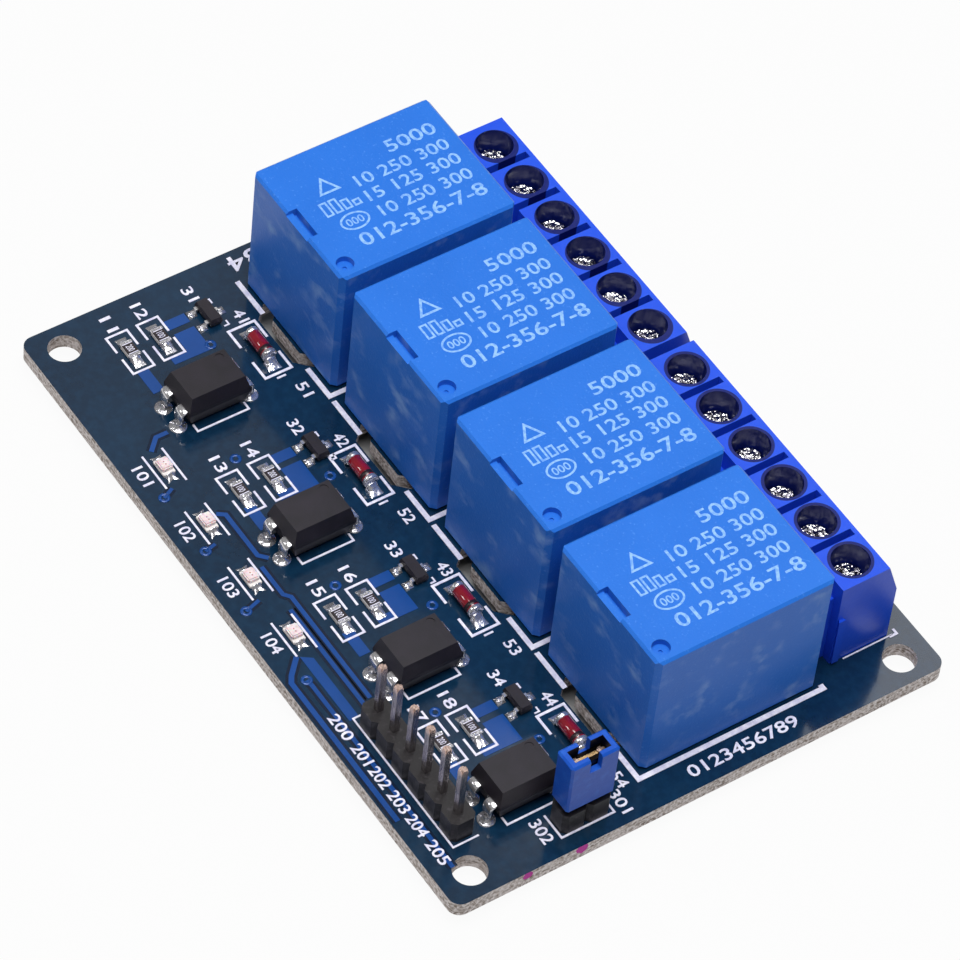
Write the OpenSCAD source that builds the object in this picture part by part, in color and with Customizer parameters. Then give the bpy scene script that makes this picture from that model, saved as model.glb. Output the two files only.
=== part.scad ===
// Four channel relay module: a blue circuit board with four sugar-cube relays, two six-way
// rising-clamp terminal blocks, optocouplers, a control header and a supply jumper.
// Millimetres. X runs along the long edge, Y from the control edge to the screw terminals.
// The origin is the middle of the board, on the plane that the lead tips stand on.

/* [Board] */
// Length of the board along X
board_w = 73.5; // [72.5:0.5:90]
// Depth of the board along Y
board_d = 52.5; // [51.5:0.5:70]
// Thickness of the laminate
board_t = 1.6; // [0.8:0.1:3.2]
// Radius of the board's corners
board_corner_r = 1.2; // [0.4:0.1:2]
// Distance of the mounting holes from the board's short edges
mount_edge_x = 2.75; // [2.5:0.05:2.85]
// Distance of the mounting holes from the board's long edges
mount_edge_y = 3.25; // [2.8:0.05:3.5]
// Diameter of the mounting holes
mount_hole_d = 3.2; // [2.2:0.1:3.4]
// How far the leads stand out below the board
lead_stub = 1.6; // [1.2:0.1:3]

/* [Isolation slots] */
// Width of the milled slot round each common pin
slot_w = 1.15; // [0.8:0.05:1.3]
// How far the slot's straight part lies in front of the relay
slot_front = 1.4; // [1.2:0.1:1.6]
// Half of the slot's outer width
slot_half = 4.4; // [4.2:0.1:4.6]
// Size of the slot's slanted corners
slot_corner = 1.43; // [1:0.01:1.8]
// How far the slot's legs run under the relay
slot_reach = 3.6; // [2:0.1:5]

/* [Relays] */
// Width of a relay along X
relay_w = 15.2; // [15:0.1:16]
// Length of a relay along Y
relay_d = 19; // [18.6:0.1:19.4]
// Height of a relay above the board
relay_h = 15.2; // [14.6:0.1:17]
// Distance between relays
relay_pitch = 16.78; // [16.5:0.02:17]
// Sideways place of the row of relays
relay_shift_x = 0; // [-0.3:0.1:0.3]
// Y of the relays' front faces
relay_front_y = -4.25; // [-4.4:0.05:-4]
// Wall of the relay's cover
relay_wall = 0.8; // [0.6:0.05:0.95]
// Roof of the relay's cover
relay_roof = 1.2; // [1.15:0.05:1.4]
// Bevel round the cover's roof
relay_top_edge = 0.25; // [0.1:0.05:0.5]
// Bevel on the cover's upright edges
relay_side_edge = 0.5; // [0.1:0.05:0.6]
// Height of the feet that lift the relay off the board
relay_foot_h = 0.3; // [0.1:0.05:0.5]
// Thickness of the relay's base plate
relay_base_t = 1.5; // [1:0.1:1.8]

/* [Relay cover marks] */
// Length of the notch in the front edge of the roof
notch_w = 3.6; // [2:0.1:5]
// How far the notch reaches in from the front face
notch_in = 1.1; // [1:0.05:1.5]
// Depth of the notch's ledge
notch_ledge = 0.45; // [0.2:0.05:0.6]
// Width of the deep groove behind the ledge
notch_groove = 0.4; // [0.3:0.05:0.6]
// Depth of the groove behind the ledge
notch_depth = 0.9; // [0.7:0.05:1]
// Diameter of the round vent recess
vent_d = 1.7; // [1:0.05:2.2]
// Depth of the vent recess
vent_depth = 0.65; // [0.3:0.05:0.8]
// Vent centre from the cover's side face
vent_side = 1.6; // [1.5:0.1:3]
// Vent centre from the cover's front face
vent_front = 1.35; // [1.2:0.05:3]
// Diameter of the pip in the vent's floor
vent_pip_d = 0.4; // [0.2:0.05:0.6]
// Depth of the pip below the vent's floor
vent_pip_depth = 0.15; // [0.1:0.05:0.3]

/* [Relay works] */
// Common pin's distance from the relay's front face
com_inset = 2.4; // [2.35:0.05:2.6]
// Coil pins' distance from the front face
coil_pin_inset = 4.4; // [4.2:0.1:4.6]
// Contact pins' distance from the back face
contact_inset = 2.4; // [2.2:0.1:2.6]
// Side pins' distance from the relay's middle
side_pin_x = 6; // [5.9:0.05:6.15]
// Thickness of the magnet yoke
yoke_t = 1.2; // [0.9:0.1:1.3]
// Width of the magnet yoke
yoke_w = 10; // [8:0.5:10.5]
// Radius of the coil winding
coil_r = 4.5; // [3.6:0.1:4.6]
// Radius of the iron core
core_r = 1.9; // [1.4:0.1:2.2]
// Thickness of the armature
armature_t = 0.8; // [0.5:0.1:0.9]
// Swing of the armature in degrees
armature_swing = 4; // [2:0.5:4]
// Air gap between the armature and the pole
pole_gap = 0.75; // [0.7:0.05:1]
// Thickness of the contact spring
leaf_t = 0.3; // [0.2:0.05:0.4]
// Thickness of the fixed contact strips
strip_t = 0.4; // [0.3:0.05:0.45]
// Diameter of the contact rivets
rivet_d = 1.8; // [1.2:0.1:2.2]
// Height of the moving contact
moving_contact_h = 1.1; // [0.8:0.1:1.1]

/* [Terminal blocks] */
// Distance between terminal ways
way_pitch = 5.08; // [5:0.02:5.08]
// Distance from the outermost way to the block's end
block_end = 2.54; // [2.5:0.02:2.6]
// Gap between the two blocks
block_gap = 1.1; // [0.9:0.05:1.2]
// Sideways place of the pair of blocks
block_shift_x = 0.28; // [0:0.02:0.3]
// Gap between the relays' back faces and the blocks
block_clear = 1.15; // [0.8:0.05:1.4]
// Depth of a block
block_d = 7.6; // [7.5:0.1:8.2]
// Height of a block above the board
block_h = 10.45; // [9.8:0.05:12]
// Height at which the front face starts to slope
block_shoulder_h = 6.8; // [6:0.1:8]
// How far the front slope leans back
block_slope = 1.3; // [0.5:0.1:1.4]
// How far the tower with the wells stands in from the block's back face
tower_in = 1.2; // [1:0.1:1.3]
// Height of the ledge behind the tower
tower_ledge_h = 8.3; // [7.8:0.1:8.8]
// Diameter of the screw wells
well_d = 3.6; // [3.5:0.05:3.7]
// Well centre from the block's back face
well_in = 3.8; // [3.75:0.05:4]
// Width of the grooves between the wells
divider_w = 0.75; // [0.4:0.05:0.85]
// Depth of the grooves between the wells
divider_depth = 3; // [1:0.1:3.2]
// Web left in front of the grooves
divider_web = 1.75; // [1.6:0.05:2.5]
// How far the dovetail rib stands out of the block's end
rib_out = 0.3; // [0.2:0.05:0.35]
// Height of the dovetail rib's top
rib_top_h = 6.2; // [4:0.1:6.4]
// Width of the upright recess at the block's ribbed end
recess_w = 1; // [0.6:0.05:1.05]

/* [Terminal clamps] */
// Width of the clamp cage
cage_w = 3.6; // [3.4:0.05:3.7]
// Depth of the clamp cage
cage_d = 3.8; // [3.6:0.1:3.9]
// Height of the clamp cage
cage_h = 3.6; // [3.2:0.1:3.6]
// Thickness of the clamp cage's floor and roof
cage_wall = 0.6; // [0.4:0.05:0.6]
// Floor of the block under the cage
cage_floor = 0.8; // [0.6:0.05:0.85]
// Travel of the cage when its screw is turned
cage_travel = 1.6; // [1:0.1:1.6]
// Thickness of the current bar
bar_t = 0.5; // [0.4:0.05:0.55]
// Width of the current bar
bar_w = 2.2; // [1.6:0.1:2.3]
// Width of the solder tail
tail_w = 1.2; // [0.8:0.1:1.3]
// Thread diameter of the clamp screw
screw_d = 2.5; // [2.4:0.1:2.6]
// Diameter of the clamp screw's head
screw_head_d = 3.3; // [3:0.05:3.35]
// Height of the clamp screw's head
screw_head_h = 1.4; // [1:0.1:1.6]
// Ledge that the screw head turns on
ledge_t = 0.6; // [0.4:0.05:0.7]
// Width of the screw's slot
screw_slot_w = 0.55; // [0.4:0.05:0.7]

/* [Headers] */
// Distance between header pins
pin_pitch = 2.54; // [2.5:0.01:2.54]
// Side of a square header pin
pin_side = 0.64; // [0.5:0.02:0.66]
// Height of the pin tips above the board
pin_rise = 8.6; // [8:0.1:11.4]
// Width and height of the plastic strips
strip_side = 2.5; // [2.3:0.05:2.54]
// Control header's middle from the board's right edge
header_edge_x = 13.45; // [13.3:0.05:13.8]
// Control header's middle from the board's front edge
header_edge_y = 4.65; // [4.5:0.05:4.8]
// Jumper header's middle from the board's right edge
jumper_edge_x = 2.95; // [2.7:0.05:3.1]
// Jumper header's middle from the board's front edge
jumper_edge_y = 14.75; // [14.3:0.05:15.2]

/* [Jumper cap] */
// Thickness of the jumper cap along X
cap_w = 2.5; // [2.3:0.05:2.54]
// Length of the jumper cap along Y
cap_l = 5; // [4.6:0.1:5.08]
// Height of the jumper cap
cap_h = 6.15; // [5.8:0.05:7]
// Gap between the jumper cap and the strip it is pushed on to
cap_lift = 0.85; // [0.1:0.05:0.9]
// Plastic below the cap's spring clip
clip_floor = 0.6; // [0.4:0.05:0.8]
// Depth of the clip's top below the cap's rim
clip_sink = 1; // [0.8:0.05:1.2]
// Thickness of the cap's spring clip
clip_t = 0.25; // [0.15:0.05:0.3]

/* [Optocouplers] */
// Width of an optocoupler along its row of leads
opto_w = 4.6; // [4.4:0.1:4.8]
// Length of an optocoupler across its leads
opto_d = 6.5; // [6.3:0.1:6.6]
// Height of an optocoupler's body
opto_h = 3.4; // [3:0.1:4]
// Gap between the optocoupler and the board
opto_lift = 0.45; // [0.2:0.05:0.6]
// How much smaller the body is at its top and bottom faces
opto_draft = 0.42; // [0.1:0.02:0.6]
// Distance between the two rows of leads
opto_row = 7.62; // [7.4:0.02:7.7]
// Thickness of the lead sheet
lead_t = 0.25; // [0.15:0.05:0.3]

/* [Small parts] */
// Length of a chip resistor
chip_l = 2; // [1.8:0.1:2.2]
// Width of a chip resistor
chip_w = 1.25; // [1.1:0.05:1.4]
// Height of a chip resistor
chip_h = 0.55; // [0.45:0.05:0.7]
// Height of an indicator lamp
led_h = 0.8; // [0.6:0.05:1]
// Length of a glass diode
diode_l = 3.5; // [3.3:0.1:3.7]
// Diameter of a glass diode
diode_d = 1.5; // [1.4:0.05:1.7]
// Length of a transistor's body
transistor_l = 2.9; // [2.7:0.1:3.1]
// Width of a transistor's body
transistor_w = 1.3; // [1.2:0.05:1.4]
// Height of a transistor
transistor_h = 1.05; // [0.9:0.05:1.2]
// Distance of a transistor's front leads from its middle
transistor_lead_x = 0.95; // [0.9:0.05:1]
// Width of a transistor's lead
transistor_lead_w = 0.42; // [0.35:0.01:0.5]
// Thickness of a transistor's lead
transistor_lead_t = 0.14; // [0.1:0.01:0.2]
// How far a transistor's lead runs out before it turns down
transistor_lead_out = 0.3; // [0.25:0.05:0.4]
// Length of a transistor's foot
transistor_foot_l = 0.45; // [0.4:0.05:0.6]

/* [Hidden] */
$fn = 40;

// How many of each
relay_count = 4;
block_count = 2;
ways = 6;
header_ways = 6;
jumper_ways = 2;

// Where the small parts sit on the board, as laid out by hand
opto_spots = [[-22.15, -15], [-4.35, -15], [13.15, -15], [28.9, -15]];
resistor_spots = [
    [-30.65, -18], [-30.65, -14.7], [-11.45, -14.6], [-11.4, -18],
    [5.15, -18], [5.2, -14.65], [21.5, -14.65], [21.5, -17.8]
];
led_spots = [[-17.25, -22.5], [-9.85, -22.5], [-2.5, -22.5], [4.8, -22.5]];
diode_spots = [[-25, -7.45], [-7.75, -7.4], [9.55, -7.4], [26.4, -7.4]];
transistor_spots = [[-30.8, -9.45], [-12.3, -9.45], [4.2, -9.45], [21, -9.45]];

// Places that follow the board's edges and the relays
mount_spacing_x = board_w - 2 * mount_edge_x;
mount_spacing_y = board_d - 2 * mount_edge_y;
header_x = board_w / 2 - header_edge_x;
header_y = header_edge_y - board_d / 2;
jumper_x = board_w / 2 - jumper_edge_x;
jumper_y = jumper_edge_y - board_d / 2;
block_back_y = relay_front_y + relay_d + block_clear;

// Levels
board_bottom = lead_stub;
board_top = board_bottom + board_t;
through_t = board_t + lead_stub;
cut = 1;
seat_gap = 0.05;
run_gap = 0.03;

// Relay levels, above the board
relay_mid_y = relay_front_y + relay_d / 2;
roof_z = relay_h - relay_roof;
base_top = relay_foot_h + relay_base_t;
works_z = base_top + seat_gap;
rivet_h = 0.15;
roof_gap = 0.15;
closed_strip_z = roof_z - roof_gap - strip_t;
moving_contact_top = closed_strip_z - rivet_h - seat_gap;
leaf_z = moving_contact_top - moving_contact_h / 2;
armature_z = leaf_z - armature_t / 2;
yoke_top = armature_z - run_gap;
pole_top = armature_z - pole_gap;
pole_t = 0.65;
flange_t = 0.75;

// Relay places along Y, from the middle of the relay
com_y = com_inset - relay_d / 2;
coil_pin_y = coil_pin_inset - relay_d / 2;
contact_y = relay_d / 2 - contact_inset;
yoke_back_y = com_y - yoke_t / 2;
hinge_y = yoke_back_y + yoke_t;
coil_gap = 0.3;
coil_y = hinge_y + coil_gap + coil_r;
bobbin_r = coil_r + 0.25;
pole_r = 3.1;
armature_w = 9.4;
armature_front = coil_y + pole_r + 0.4;
moving_contact_y = contact_y - 0.8;
open_drop = (moving_contact_y - hinge_y + rivet_d / 2) * sin(armature_swing) + seat_gap;
open_strip_z = moving_contact_top - moving_contact_h - open_drop - rivet_h - strip_t;

// Pins of a relay: place, width along X, thickness along Y
com_pin = [0, com_y, 1.2, 0.8];
coil_pins = [for (s = [-1, 1]) [s * side_pin_x, coil_pin_y, 0.6, 0.6]];
contact_pins = [for (s = [-1, 1]) [s * side_pin_x, contact_y, 1.2, strip_t]];
relay_pins = concat([com_pin], coil_pins, contact_pins);

// Terminal block levels, above the board
block_len = (ways - 1) * way_pitch + 2 * block_end;
cage_z = cage_floor + seat_gap;
cavity_side = 0.1;
cavity_w = cage_w + 2 * cavity_side;
cavity_d = cage_d + 2 * cavity_side;
cavity_top = cage_z + cage_h + cage_travel + seat_gap;
ledge_top = cavity_top + ledge_t;
bar_z = cage_z + cage_h - cage_wall - seat_gap - bar_t;
bar_top = bar_z + bar_t;
screw_tip_z = bar_top + seat_gap;
tail_y = 0.7;
tail_slack = 0.1;
entry_w = 3.4;
entry_h = 3;
funnel_w = 4.2;
funnel_h = entry_h + entry_w / 2 + 0.3;
funnel_in = 0.6;
rib_floor_h = 0.3;
rib_w = 0.75;
rib_slant = 0.15;

// Pins and legs
leg_w = 0.5;
shoulder_w = 1.2;
shoulder_z = opto_lift + opto_h / 2;
opto_band = 0.4;
smd_pad_t = 0.06;
transistor_lift = 0.1;
transistor_body_h = transistor_h - transistor_lift;
transistor_lead_spots = [[-transistor_lead_x, -1], [transistor_lead_x, -1], [0, 1]];

function relay_x(i) = relay_shift_x + (i - (relay_count - 1) / 2) * relay_pitch;
function block_x(b) = block_shift_x + (b - (block_count - 1) / 2) * (block_len + block_gap);
function way_x(w) = block_x(floor(w / ways)) + (w % ways - (ways - 1) / 2) * way_pitch;
function pin_row(n) = [for (k = [0 : n - 1]) (k - (n - 1) / 2) * pin_pitch];

// Every lead that goes through the board: X, Y, width, thickness, hole and pad diameter
relay_leads = [for (i = [0 : relay_count - 1], p = relay_pins)
    [relay_x(i) + p[0], relay_mid_y + p[1], p[2], p[3], p[2] + 0.3, 2.6]];
terminal_leads = [for (w = [0 : block_count * ways - 1])
    [way_x(w), block_back_y + tail_y + bar_t / 2, tail_w, bar_t, tail_w + 0.35, 2.6]];
header_leads = [for (x = pin_row(header_ways))
    [header_x + x, header_y, pin_side, pin_side, pin_side * 1.5 + 0.1, 1.7]];
jumper_leads = [for (y = pin_row(jumper_ways))
    [jumper_x, jumper_y + y, pin_side, pin_side, pin_side * 1.5 + 0.1, 1.7]];
opto_leads = [for (o = opto_spots, sx = [-1, 1], sy = [-1, 1])
    [o[0] + sx * pin_pitch / 2, o[1] + sy * opto_row / 2, leg_w, lead_t, leg_w + 0.3, 1.6]];
all_leads = concat(relay_leads, terminal_leads, header_leads, jumper_leads, opto_leads);

// ---- shared shapes ----

// Box centred in X and Y, standing on z = 0
module block(w, d, h) {
    translate([-w / 2, -d / 2, 0]) cube([w, d, h]);
}

// Plate outline with square corners cut off by a bevel
module bevelled_outline(w, d, c) {
    polygon([
        [-w / 2 + c, -d / 2], [w / 2 - c, -d / 2], [w / 2, -d / 2 + c], [w / 2, d / 2 - c],
        [w / 2 - c, d / 2], [-w / 2 + c, d / 2], [-w / 2, d / 2 - c], [-w / 2, -d / 2 + c]
    ]);
}

// Side view of a box whose top edges are bevelled
module bevelled_side(w, h, c) {
    polygon([[-w / 2, 0], [w / 2, 0], [w / 2, h - c], [w / 2 - c, h], [-w / 2 + c, h], [-w / 2, h - c]]);
}

// Box with one bevel on its upright edges and another round its top
module bevelled_box(w, d, h, upright, top) {
    intersection() {
        linear_extrude(h) bevelled_outline(w, d, upright);
        rotate([90, 0, 0]) translate([0, 0, -d]) linear_extrude(2 * d) bevelled_side(w, h, top);
        rotate([90, 0, 90]) translate([0, 0, -w]) linear_extrude(2 * w) bevelled_side(d, h, top);
    }
}

// Side view of a moulded body: a straight band at mid height, drawn in above and below it
module drafted_side(w, h, draft, band) {
    polygon([
        [-w / 2 + draft, 0], [w / 2 - draft, 0],
        [w / 2, (h - band) / 2], [w / 2, (h + band) / 2],
        [w / 2 - draft, h], [-w / 2 + draft, h],
        [-w / 2, (h + band) / 2], [-w / 2, (h - band) / 2]
    ]);
}

module drafted_body(w, d, h, draft, band) {
    intersection() {
        rotate([90, 0, 0]) translate([0, 0, -d]) linear_extrude(2 * d) drafted_side(w, h, draft, band);
        rotate([90, 0, 90]) translate([0, 0, -w]) linear_extrude(2 * w) drafted_side(d, h, draft, band);
    }
}

// ---- board ----

module rounded_plate(w, d, h, r) {
    block(w - 2 * r, d, h);
    block(w, d - 2 * r, h);
    for (sx = [-1, 1], sy = [-1, 1])
        translate([sx * (w / 2 - r), sy * (d / 2 - r), 0]) cylinder(r = r, h = h);
}

// The slot runs in front of the relay and turns in under it on both sides of the common pin
module isolation_slot() {
    front = -slot_front;
    inner = slot_half - slot_w;
    bend = slot_corner - slot_w * tan(22.5);
    polygon([
        [-slot_half, slot_reach], [-slot_half, front + slot_corner], [-slot_half + slot_corner, front],
        [slot_half - slot_corner, front], [slot_half, front + slot_corner], [slot_half, slot_reach],
        [inner, slot_reach], [inner, front + slot_w + bend], [inner - bend, front + slot_w],
        [-inner + bend, front + slot_w], [-inner, front + slot_w + bend], [-inner, slot_reach]
    ]);
}

module circuit_board() {
    color("#16406e") translate([0, 0, board_bottom]) difference() {
        rounded_plate(board_w, board_d, board_t, board_corner_r);
        for (sx = [-1, 1], sy = [-1, 1])
            translate([sx * mount_spacing_x / 2, sy * mount_spacing_y / 2, -cut])
                cylinder(d = mount_hole_d, h = board_t + 2 * cut);
        for (l = all_leads)
            translate([l[0], l[1], -cut]) cylinder(d = l[4], h = board_t + 2 * cut);
        for (i = [0 : relay_count - 1])
            translate([relay_x(i), relay_front_y, -cut])
                linear_extrude(board_t + 2 * cut) isolation_slot();
    }
}

// A cone of solder round each lead on the underside
module solder_joints() {
    tip_d = 0.35;
    solder_h = lead_stub * 0.7;
    color("#c9ccd0") for (l = all_leads)
        translate([l[0], l[1], board_bottom - solder_h]) difference() {
            cylinder(d1 = l[2] + tip_d, d2 = l[5], h = solder_h);
            translate([0, 0, -cut]) block(l[2], l[3], solder_h + 2 * cut);
        }
}

// ---- relays ----

module relay_cover(i) {
    inside_w = relay_w - 2 * relay_wall;
    inside_d = relay_d - 2 * relay_wall;
    color("#2a5fd0") translate([relay_x(i), relay_mid_y, board_top]) difference() {
        translate([0, 0, relay_foot_h])
            bevelled_box(relay_w, relay_d, relay_h - relay_foot_h, relay_side_edge, relay_top_edge);
        block(inside_w, inside_d, roof_z);
        translate([-notch_w / 2, -relay_d / 2 - cut, relay_h - notch_ledge])
            cube([notch_w, notch_in + cut, notch_ledge + cut]);
        translate([-notch_w / 2, -relay_d / 2 + notch_in - notch_groove, relay_h - notch_depth])
            cube([notch_w, notch_groove, notch_depth + cut]);
        translate([relay_w / 2 - vent_side, -relay_d / 2 + vent_front, relay_h - vent_depth]) {
            cylinder(d = vent_d, h = vent_depth + cut);
            translate([0, 0, -vent_pip_depth]) cylinder(d = vent_pip_d, h = cut);
        }
    }
}

module relay_base(i) {
    base_w = relay_w - 2 * relay_wall - 2 * seat_gap;
    base_d = relay_d - 2 * relay_wall - 2 * seat_gap;
    foot = 1.6;
    color("#1b1c20") translate([relay_x(i), relay_mid_y, board_top]) difference() {
        union() {
            translate([0, 0, relay_foot_h]) block(base_w, base_d, relay_base_t);
            for (sx = [-1, 1], sy = [-1, 1])
                translate([sx * (base_w - foot) / 2, sy * (base_d - foot) / 2, 0])
                    block(foot, foot, relay_foot_h);
        }
        for (p = relay_pins)
            translate([p[0], p[1], -cut]) block(p[2], p[3], base_top + 2 * cut);
    }
}

// Yoke, core with its pole, and the wound bobbin between them
module relay_coil(i) {
    bobbin_z = works_z + yoke_t + seat_gap;
    bobbin_top = pole_top - pole_t - seat_gap;
    core_clear = core_r + seat_gap;
    flange_d = 2 * bobbin_r;
    translate([relay_x(i), relay_mid_y, board_top]) {
        color("#b8bcc0") {
            translate([-yoke_w / 2, yoke_back_y, works_z])
                cube([yoke_w, yoke_t, yoke_top - works_z]);
            translate([-yoke_w / 2, yoke_back_y, works_z])
                cube([yoke_w, coil_y + core_r + 1 - yoke_back_y, yoke_t]);
            translate([0, coil_y, works_z]) cylinder(r = core_r, h = pole_top - works_z);
            translate([0, coil_y, pole_top - pole_t]) cylinder(r = pole_r, h = pole_t);
        }
        color("#20232a") translate([0, coil_y, 0]) difference() {
            union() {
                for (z = [bobbin_z, bobbin_top - flange_t])
                    translate([0, 0, z]) block(flange_d, flange_d, flange_t);
                translate([0, 0, bobbin_z]) cylinder(r = core_clear + 0.7, h = bobbin_top - bobbin_z);
            }
            translate([0, 0, bobbin_z - cut])
                cylinder(r = core_clear, h = bobbin_top - bobbin_z + 2 * cut);
        }
        color("#a4521f") translate([0, coil_y, bobbin_z + flange_t + seat_gap]) difference() {
            winding_h = bobbin_top - bobbin_z - 2 * flange_t - 2 * seat_gap;
            cylinder(r = coil_r, h = winding_h);
            translate([0, 0, -cut]) cylinder(r = core_clear + 0.7 + seat_gap, h = winding_h + 2 * cut);
        }
    }
}

// Iron flap with its contact spring, which rocks on the yoke's upper edge
module relay_armature(i) {
    leaf_w = 3.6;
    leaf_root = armature_front - 1;
    leaf_end = moving_contact_y + rivet_d / 2 + 0.3;
    color("#d0b070") translate([relay_x(i), relay_mid_y, board_top]) {
        translate([-armature_w / 2, yoke_back_y, armature_z])
            cube([armature_w, armature_front - yoke_back_y, armature_t]);
        translate([-leaf_w / 2, leaf_root, leaf_z - leaf_t / 2])
            cube([leaf_w, leaf_end - leaf_root, leaf_t]);
        translate([0, moving_contact_y, moving_contact_top - moving_contact_h])
            cylinder(d = rivet_d, h = moving_contact_h);
    }
}

// A contact strip: it rises from its pin and reaches over to the moving contact
module contact_strip(side, strip_z, rivet_z) {
    pin = contact_pins[side > 0 ? 1 : 0];
    arm_y = moving_contact_y - rivet_d / 2 - 0.1;
    arm_x = side * (abs(pin[0]) + pin[2] / 2);
    arm_end = -side * (rivet_d / 2 + 0.1);
    translate([pin[0], pin[1], -through_t]) block(pin[2], pin[3], through_t + strip_z + strip_t);
    translate([min(arm_x, arm_end), arm_y, strip_z])
        cube([abs(arm_x - arm_end), pin[1] + pin[3] / 2 - arm_y, strip_t]);
    translate([0, moving_contact_y, rivet_z]) cylinder(d = rivet_d, h = rivet_h);
}

module relay_terminals() {
    coil_pin_rise = 2.2;
    color("#c8a860") for (i = [0 : relay_count - 1])
        translate([relay_x(i), relay_mid_y, board_top]) {
            translate([com_pin[0], com_pin[1], -through_t])
                block(com_pin[2], com_pin[3], through_t + works_z);
            for (p = coil_pins)
                translate([p[0], p[1], -through_t])
                    block(p[2], p[3], through_t + base_top + coil_pin_rise);
            contact_strip(1, closed_strip_z, closed_strip_z - rivet_h);
            contact_strip(-1, open_strip_z, open_strip_z + strip_t);
        }
}

// ---- screw terminals ----

// Section of the housing: upright front, a slope up to the flat top, and a ledge behind the tower
module block_section() {
    polygon([
        [0, 0], [block_d, 0], [block_d, block_shoulder_h], [block_d - block_slope, block_h],
        [tower_in, block_h], [tower_in, tower_ledge_h], [0, tower_ledge_h]
    ]);
}

// Plan of the dovetail rib, which widens away from the block's end at x = 0
module rib_plan(out, slack) {
    polygon([
        [-slack, tower_in + rib_slant - slack], [out, tower_in - slack],
        [out, tower_in + rib_w + slack], [-slack, tower_in + rib_w - rib_slant + slack]
    ]);
}

// What is cut out of the housing for one way, centred on its screw
module way_cut() {
    cage_y = well_in - cavity_d / 2;
    translate([0, well_in, ledge_top]) cylinder(d = well_d, h = block_h);
    translate([0, well_in, cavity_top - cut])
        cylinder(d = screw_d + 4 * run_gap, h = ledge_t + 2 * cut);
    translate([-cavity_w / 2, cage_y, cage_floor])
        cube([cavity_w, cavity_d, cavity_top - cage_floor]);
    translate([-entry_w / 2, well_in, cage_floor]) cube([entry_w, block_d, entry_h]);
    translate([0, well_in, cage_floor + entry_h]) rotate([-90, 0, 0])
        cylinder(d = entry_w, h = block_d);
    translate([-funnel_w / 2, block_d - funnel_in, cage_floor])
        cube([funnel_w, block_d, funnel_h]);
    translate([-bar_w / 2 - tail_slack, tail_y - tail_slack, bar_z - tail_slack])
        cube([bar_w + 2 * tail_slack, well_in, bar_t + 2 * tail_slack]);
    translate([-tail_w / 2 - tail_slack, tail_y - tail_slack, -cut])
        cube([tail_w + 2 * tail_slack, bar_t + 2 * tail_slack, bar_top + tail_slack + cut]);
}

module terminal_block(b) {
    color("#2438c0") translate([block_x(b), block_back_y, board_top]) difference() {
        union() {
            translate([-block_len / 2, 0, 0])
                rotate([90, 0, 90]) linear_extrude(block_len) block_section();
            translate([block_len / 2, 0, rib_floor_h])
                linear_extrude(rib_top_h - rib_floor_h) rib_plan(rib_out, 0);
        }
        for (w = [0 : ways - 1])
            translate([(w - (ways - 1) / 2) * way_pitch, 0, 0]) way_cut();
        for (w = [1 : ways - 1])
            translate([(w - ways / 2) * way_pitch - divider_w / 2, -cut, block_h - divider_depth])
                cube([divider_w, block_d - divider_web + cut, divider_depth + cut]);
        // upright recess behind the rib, and the groove at the other end that takes a rib
        translate([block_len / 2 - recess_w, -cut, -cut])
            cube([recess_w + cut, tower_in + cut, block_h + 2 * cut]);
        translate([-block_len / 2, 0, -cut])
            linear_extrude(rib_top_h + cut + seat_gap) rib_plan(rib_out + seat_gap, seat_gap);
    }
}

module terminal_screw(w) {
    head_edge = 0.2;
    cross_l = screw_head_d * 0.72;
    slot_depth = 0.7;
    thread_r = screw_d / 2;
    head_z = ledge_top + run_gap;
    color("#d6d9dc") translate([way_x(w), block_back_y + well_in, board_top]) difference() {
        rotate_extrude() polygon([
            [0, screw_tip_z], [thread_r - head_edge, screw_tip_z], [thread_r, screw_tip_z + head_edge],
            [thread_r, head_z], [screw_head_d / 2, head_z],
            [screw_head_d / 2, head_z + screw_head_h - head_edge],
            [screw_head_d / 2 - head_edge, head_z + screw_head_h], [0, head_z + screw_head_h]
        ]);
        translate([0, 0, head_z + screw_head_h - slot_depth]) {
            block(screw_slot_w, screw_head_d + cut, slot_depth + cut);
            block(cross_l, screw_slot_w, slot_depth + cut);
        }
    }
}

// Square cage that the screw draws up, so that its floor presses the wire against the bar
module terminal_clamp(w) {
    color("#c4c8cc") translate([way_x(w), block_back_y + well_in, board_top + cage_z]) difference() {
        block(cage_w, cage_d, cage_h);
        translate([0, 0, cage_wall])
            block(screw_d + 2 * seat_gap, cage_d + 2 * cut, cage_h - 2 * cage_wall);
        translate([0, 0, cage_h - cage_wall - cut])
            cylinder(d = screw_d + 2 * run_gap, h = cage_wall + 2 * cut);
    }
}

// Current bar inside each cage, bent down at the back into its solder tail
module terminal_bars() {
    bar_end = well_in + cage_d / 2;
    color("#cfd2d6") for (w = [0 : block_count * ways - 1])
        translate([way_x(w), block_back_y, board_top]) {
            translate([-bar_w / 2, tail_y, bar_z]) cube([bar_w, bar_end - tail_y, bar_t]);
            translate([-tail_w / 2, tail_y, -through_t]) cube([tail_w, bar_t, through_t + bar_top]);
        }
}

// ---- optocouplers ----

module optocouplers() {
    dot_d = 0.9;
    color("#232125") for (o = opto_spots)
        translate([o[0], o[1], board_top + opto_lift]) difference() {
            drafted_body(opto_w, opto_d, opto_h, opto_draft, opto_band);
            translate([-opto_w / 2 + 1.1, opto_d / 2 - 1.3, opto_h - 0.08]) cylinder(d = dot_d, h = cut);
        }
}

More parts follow.
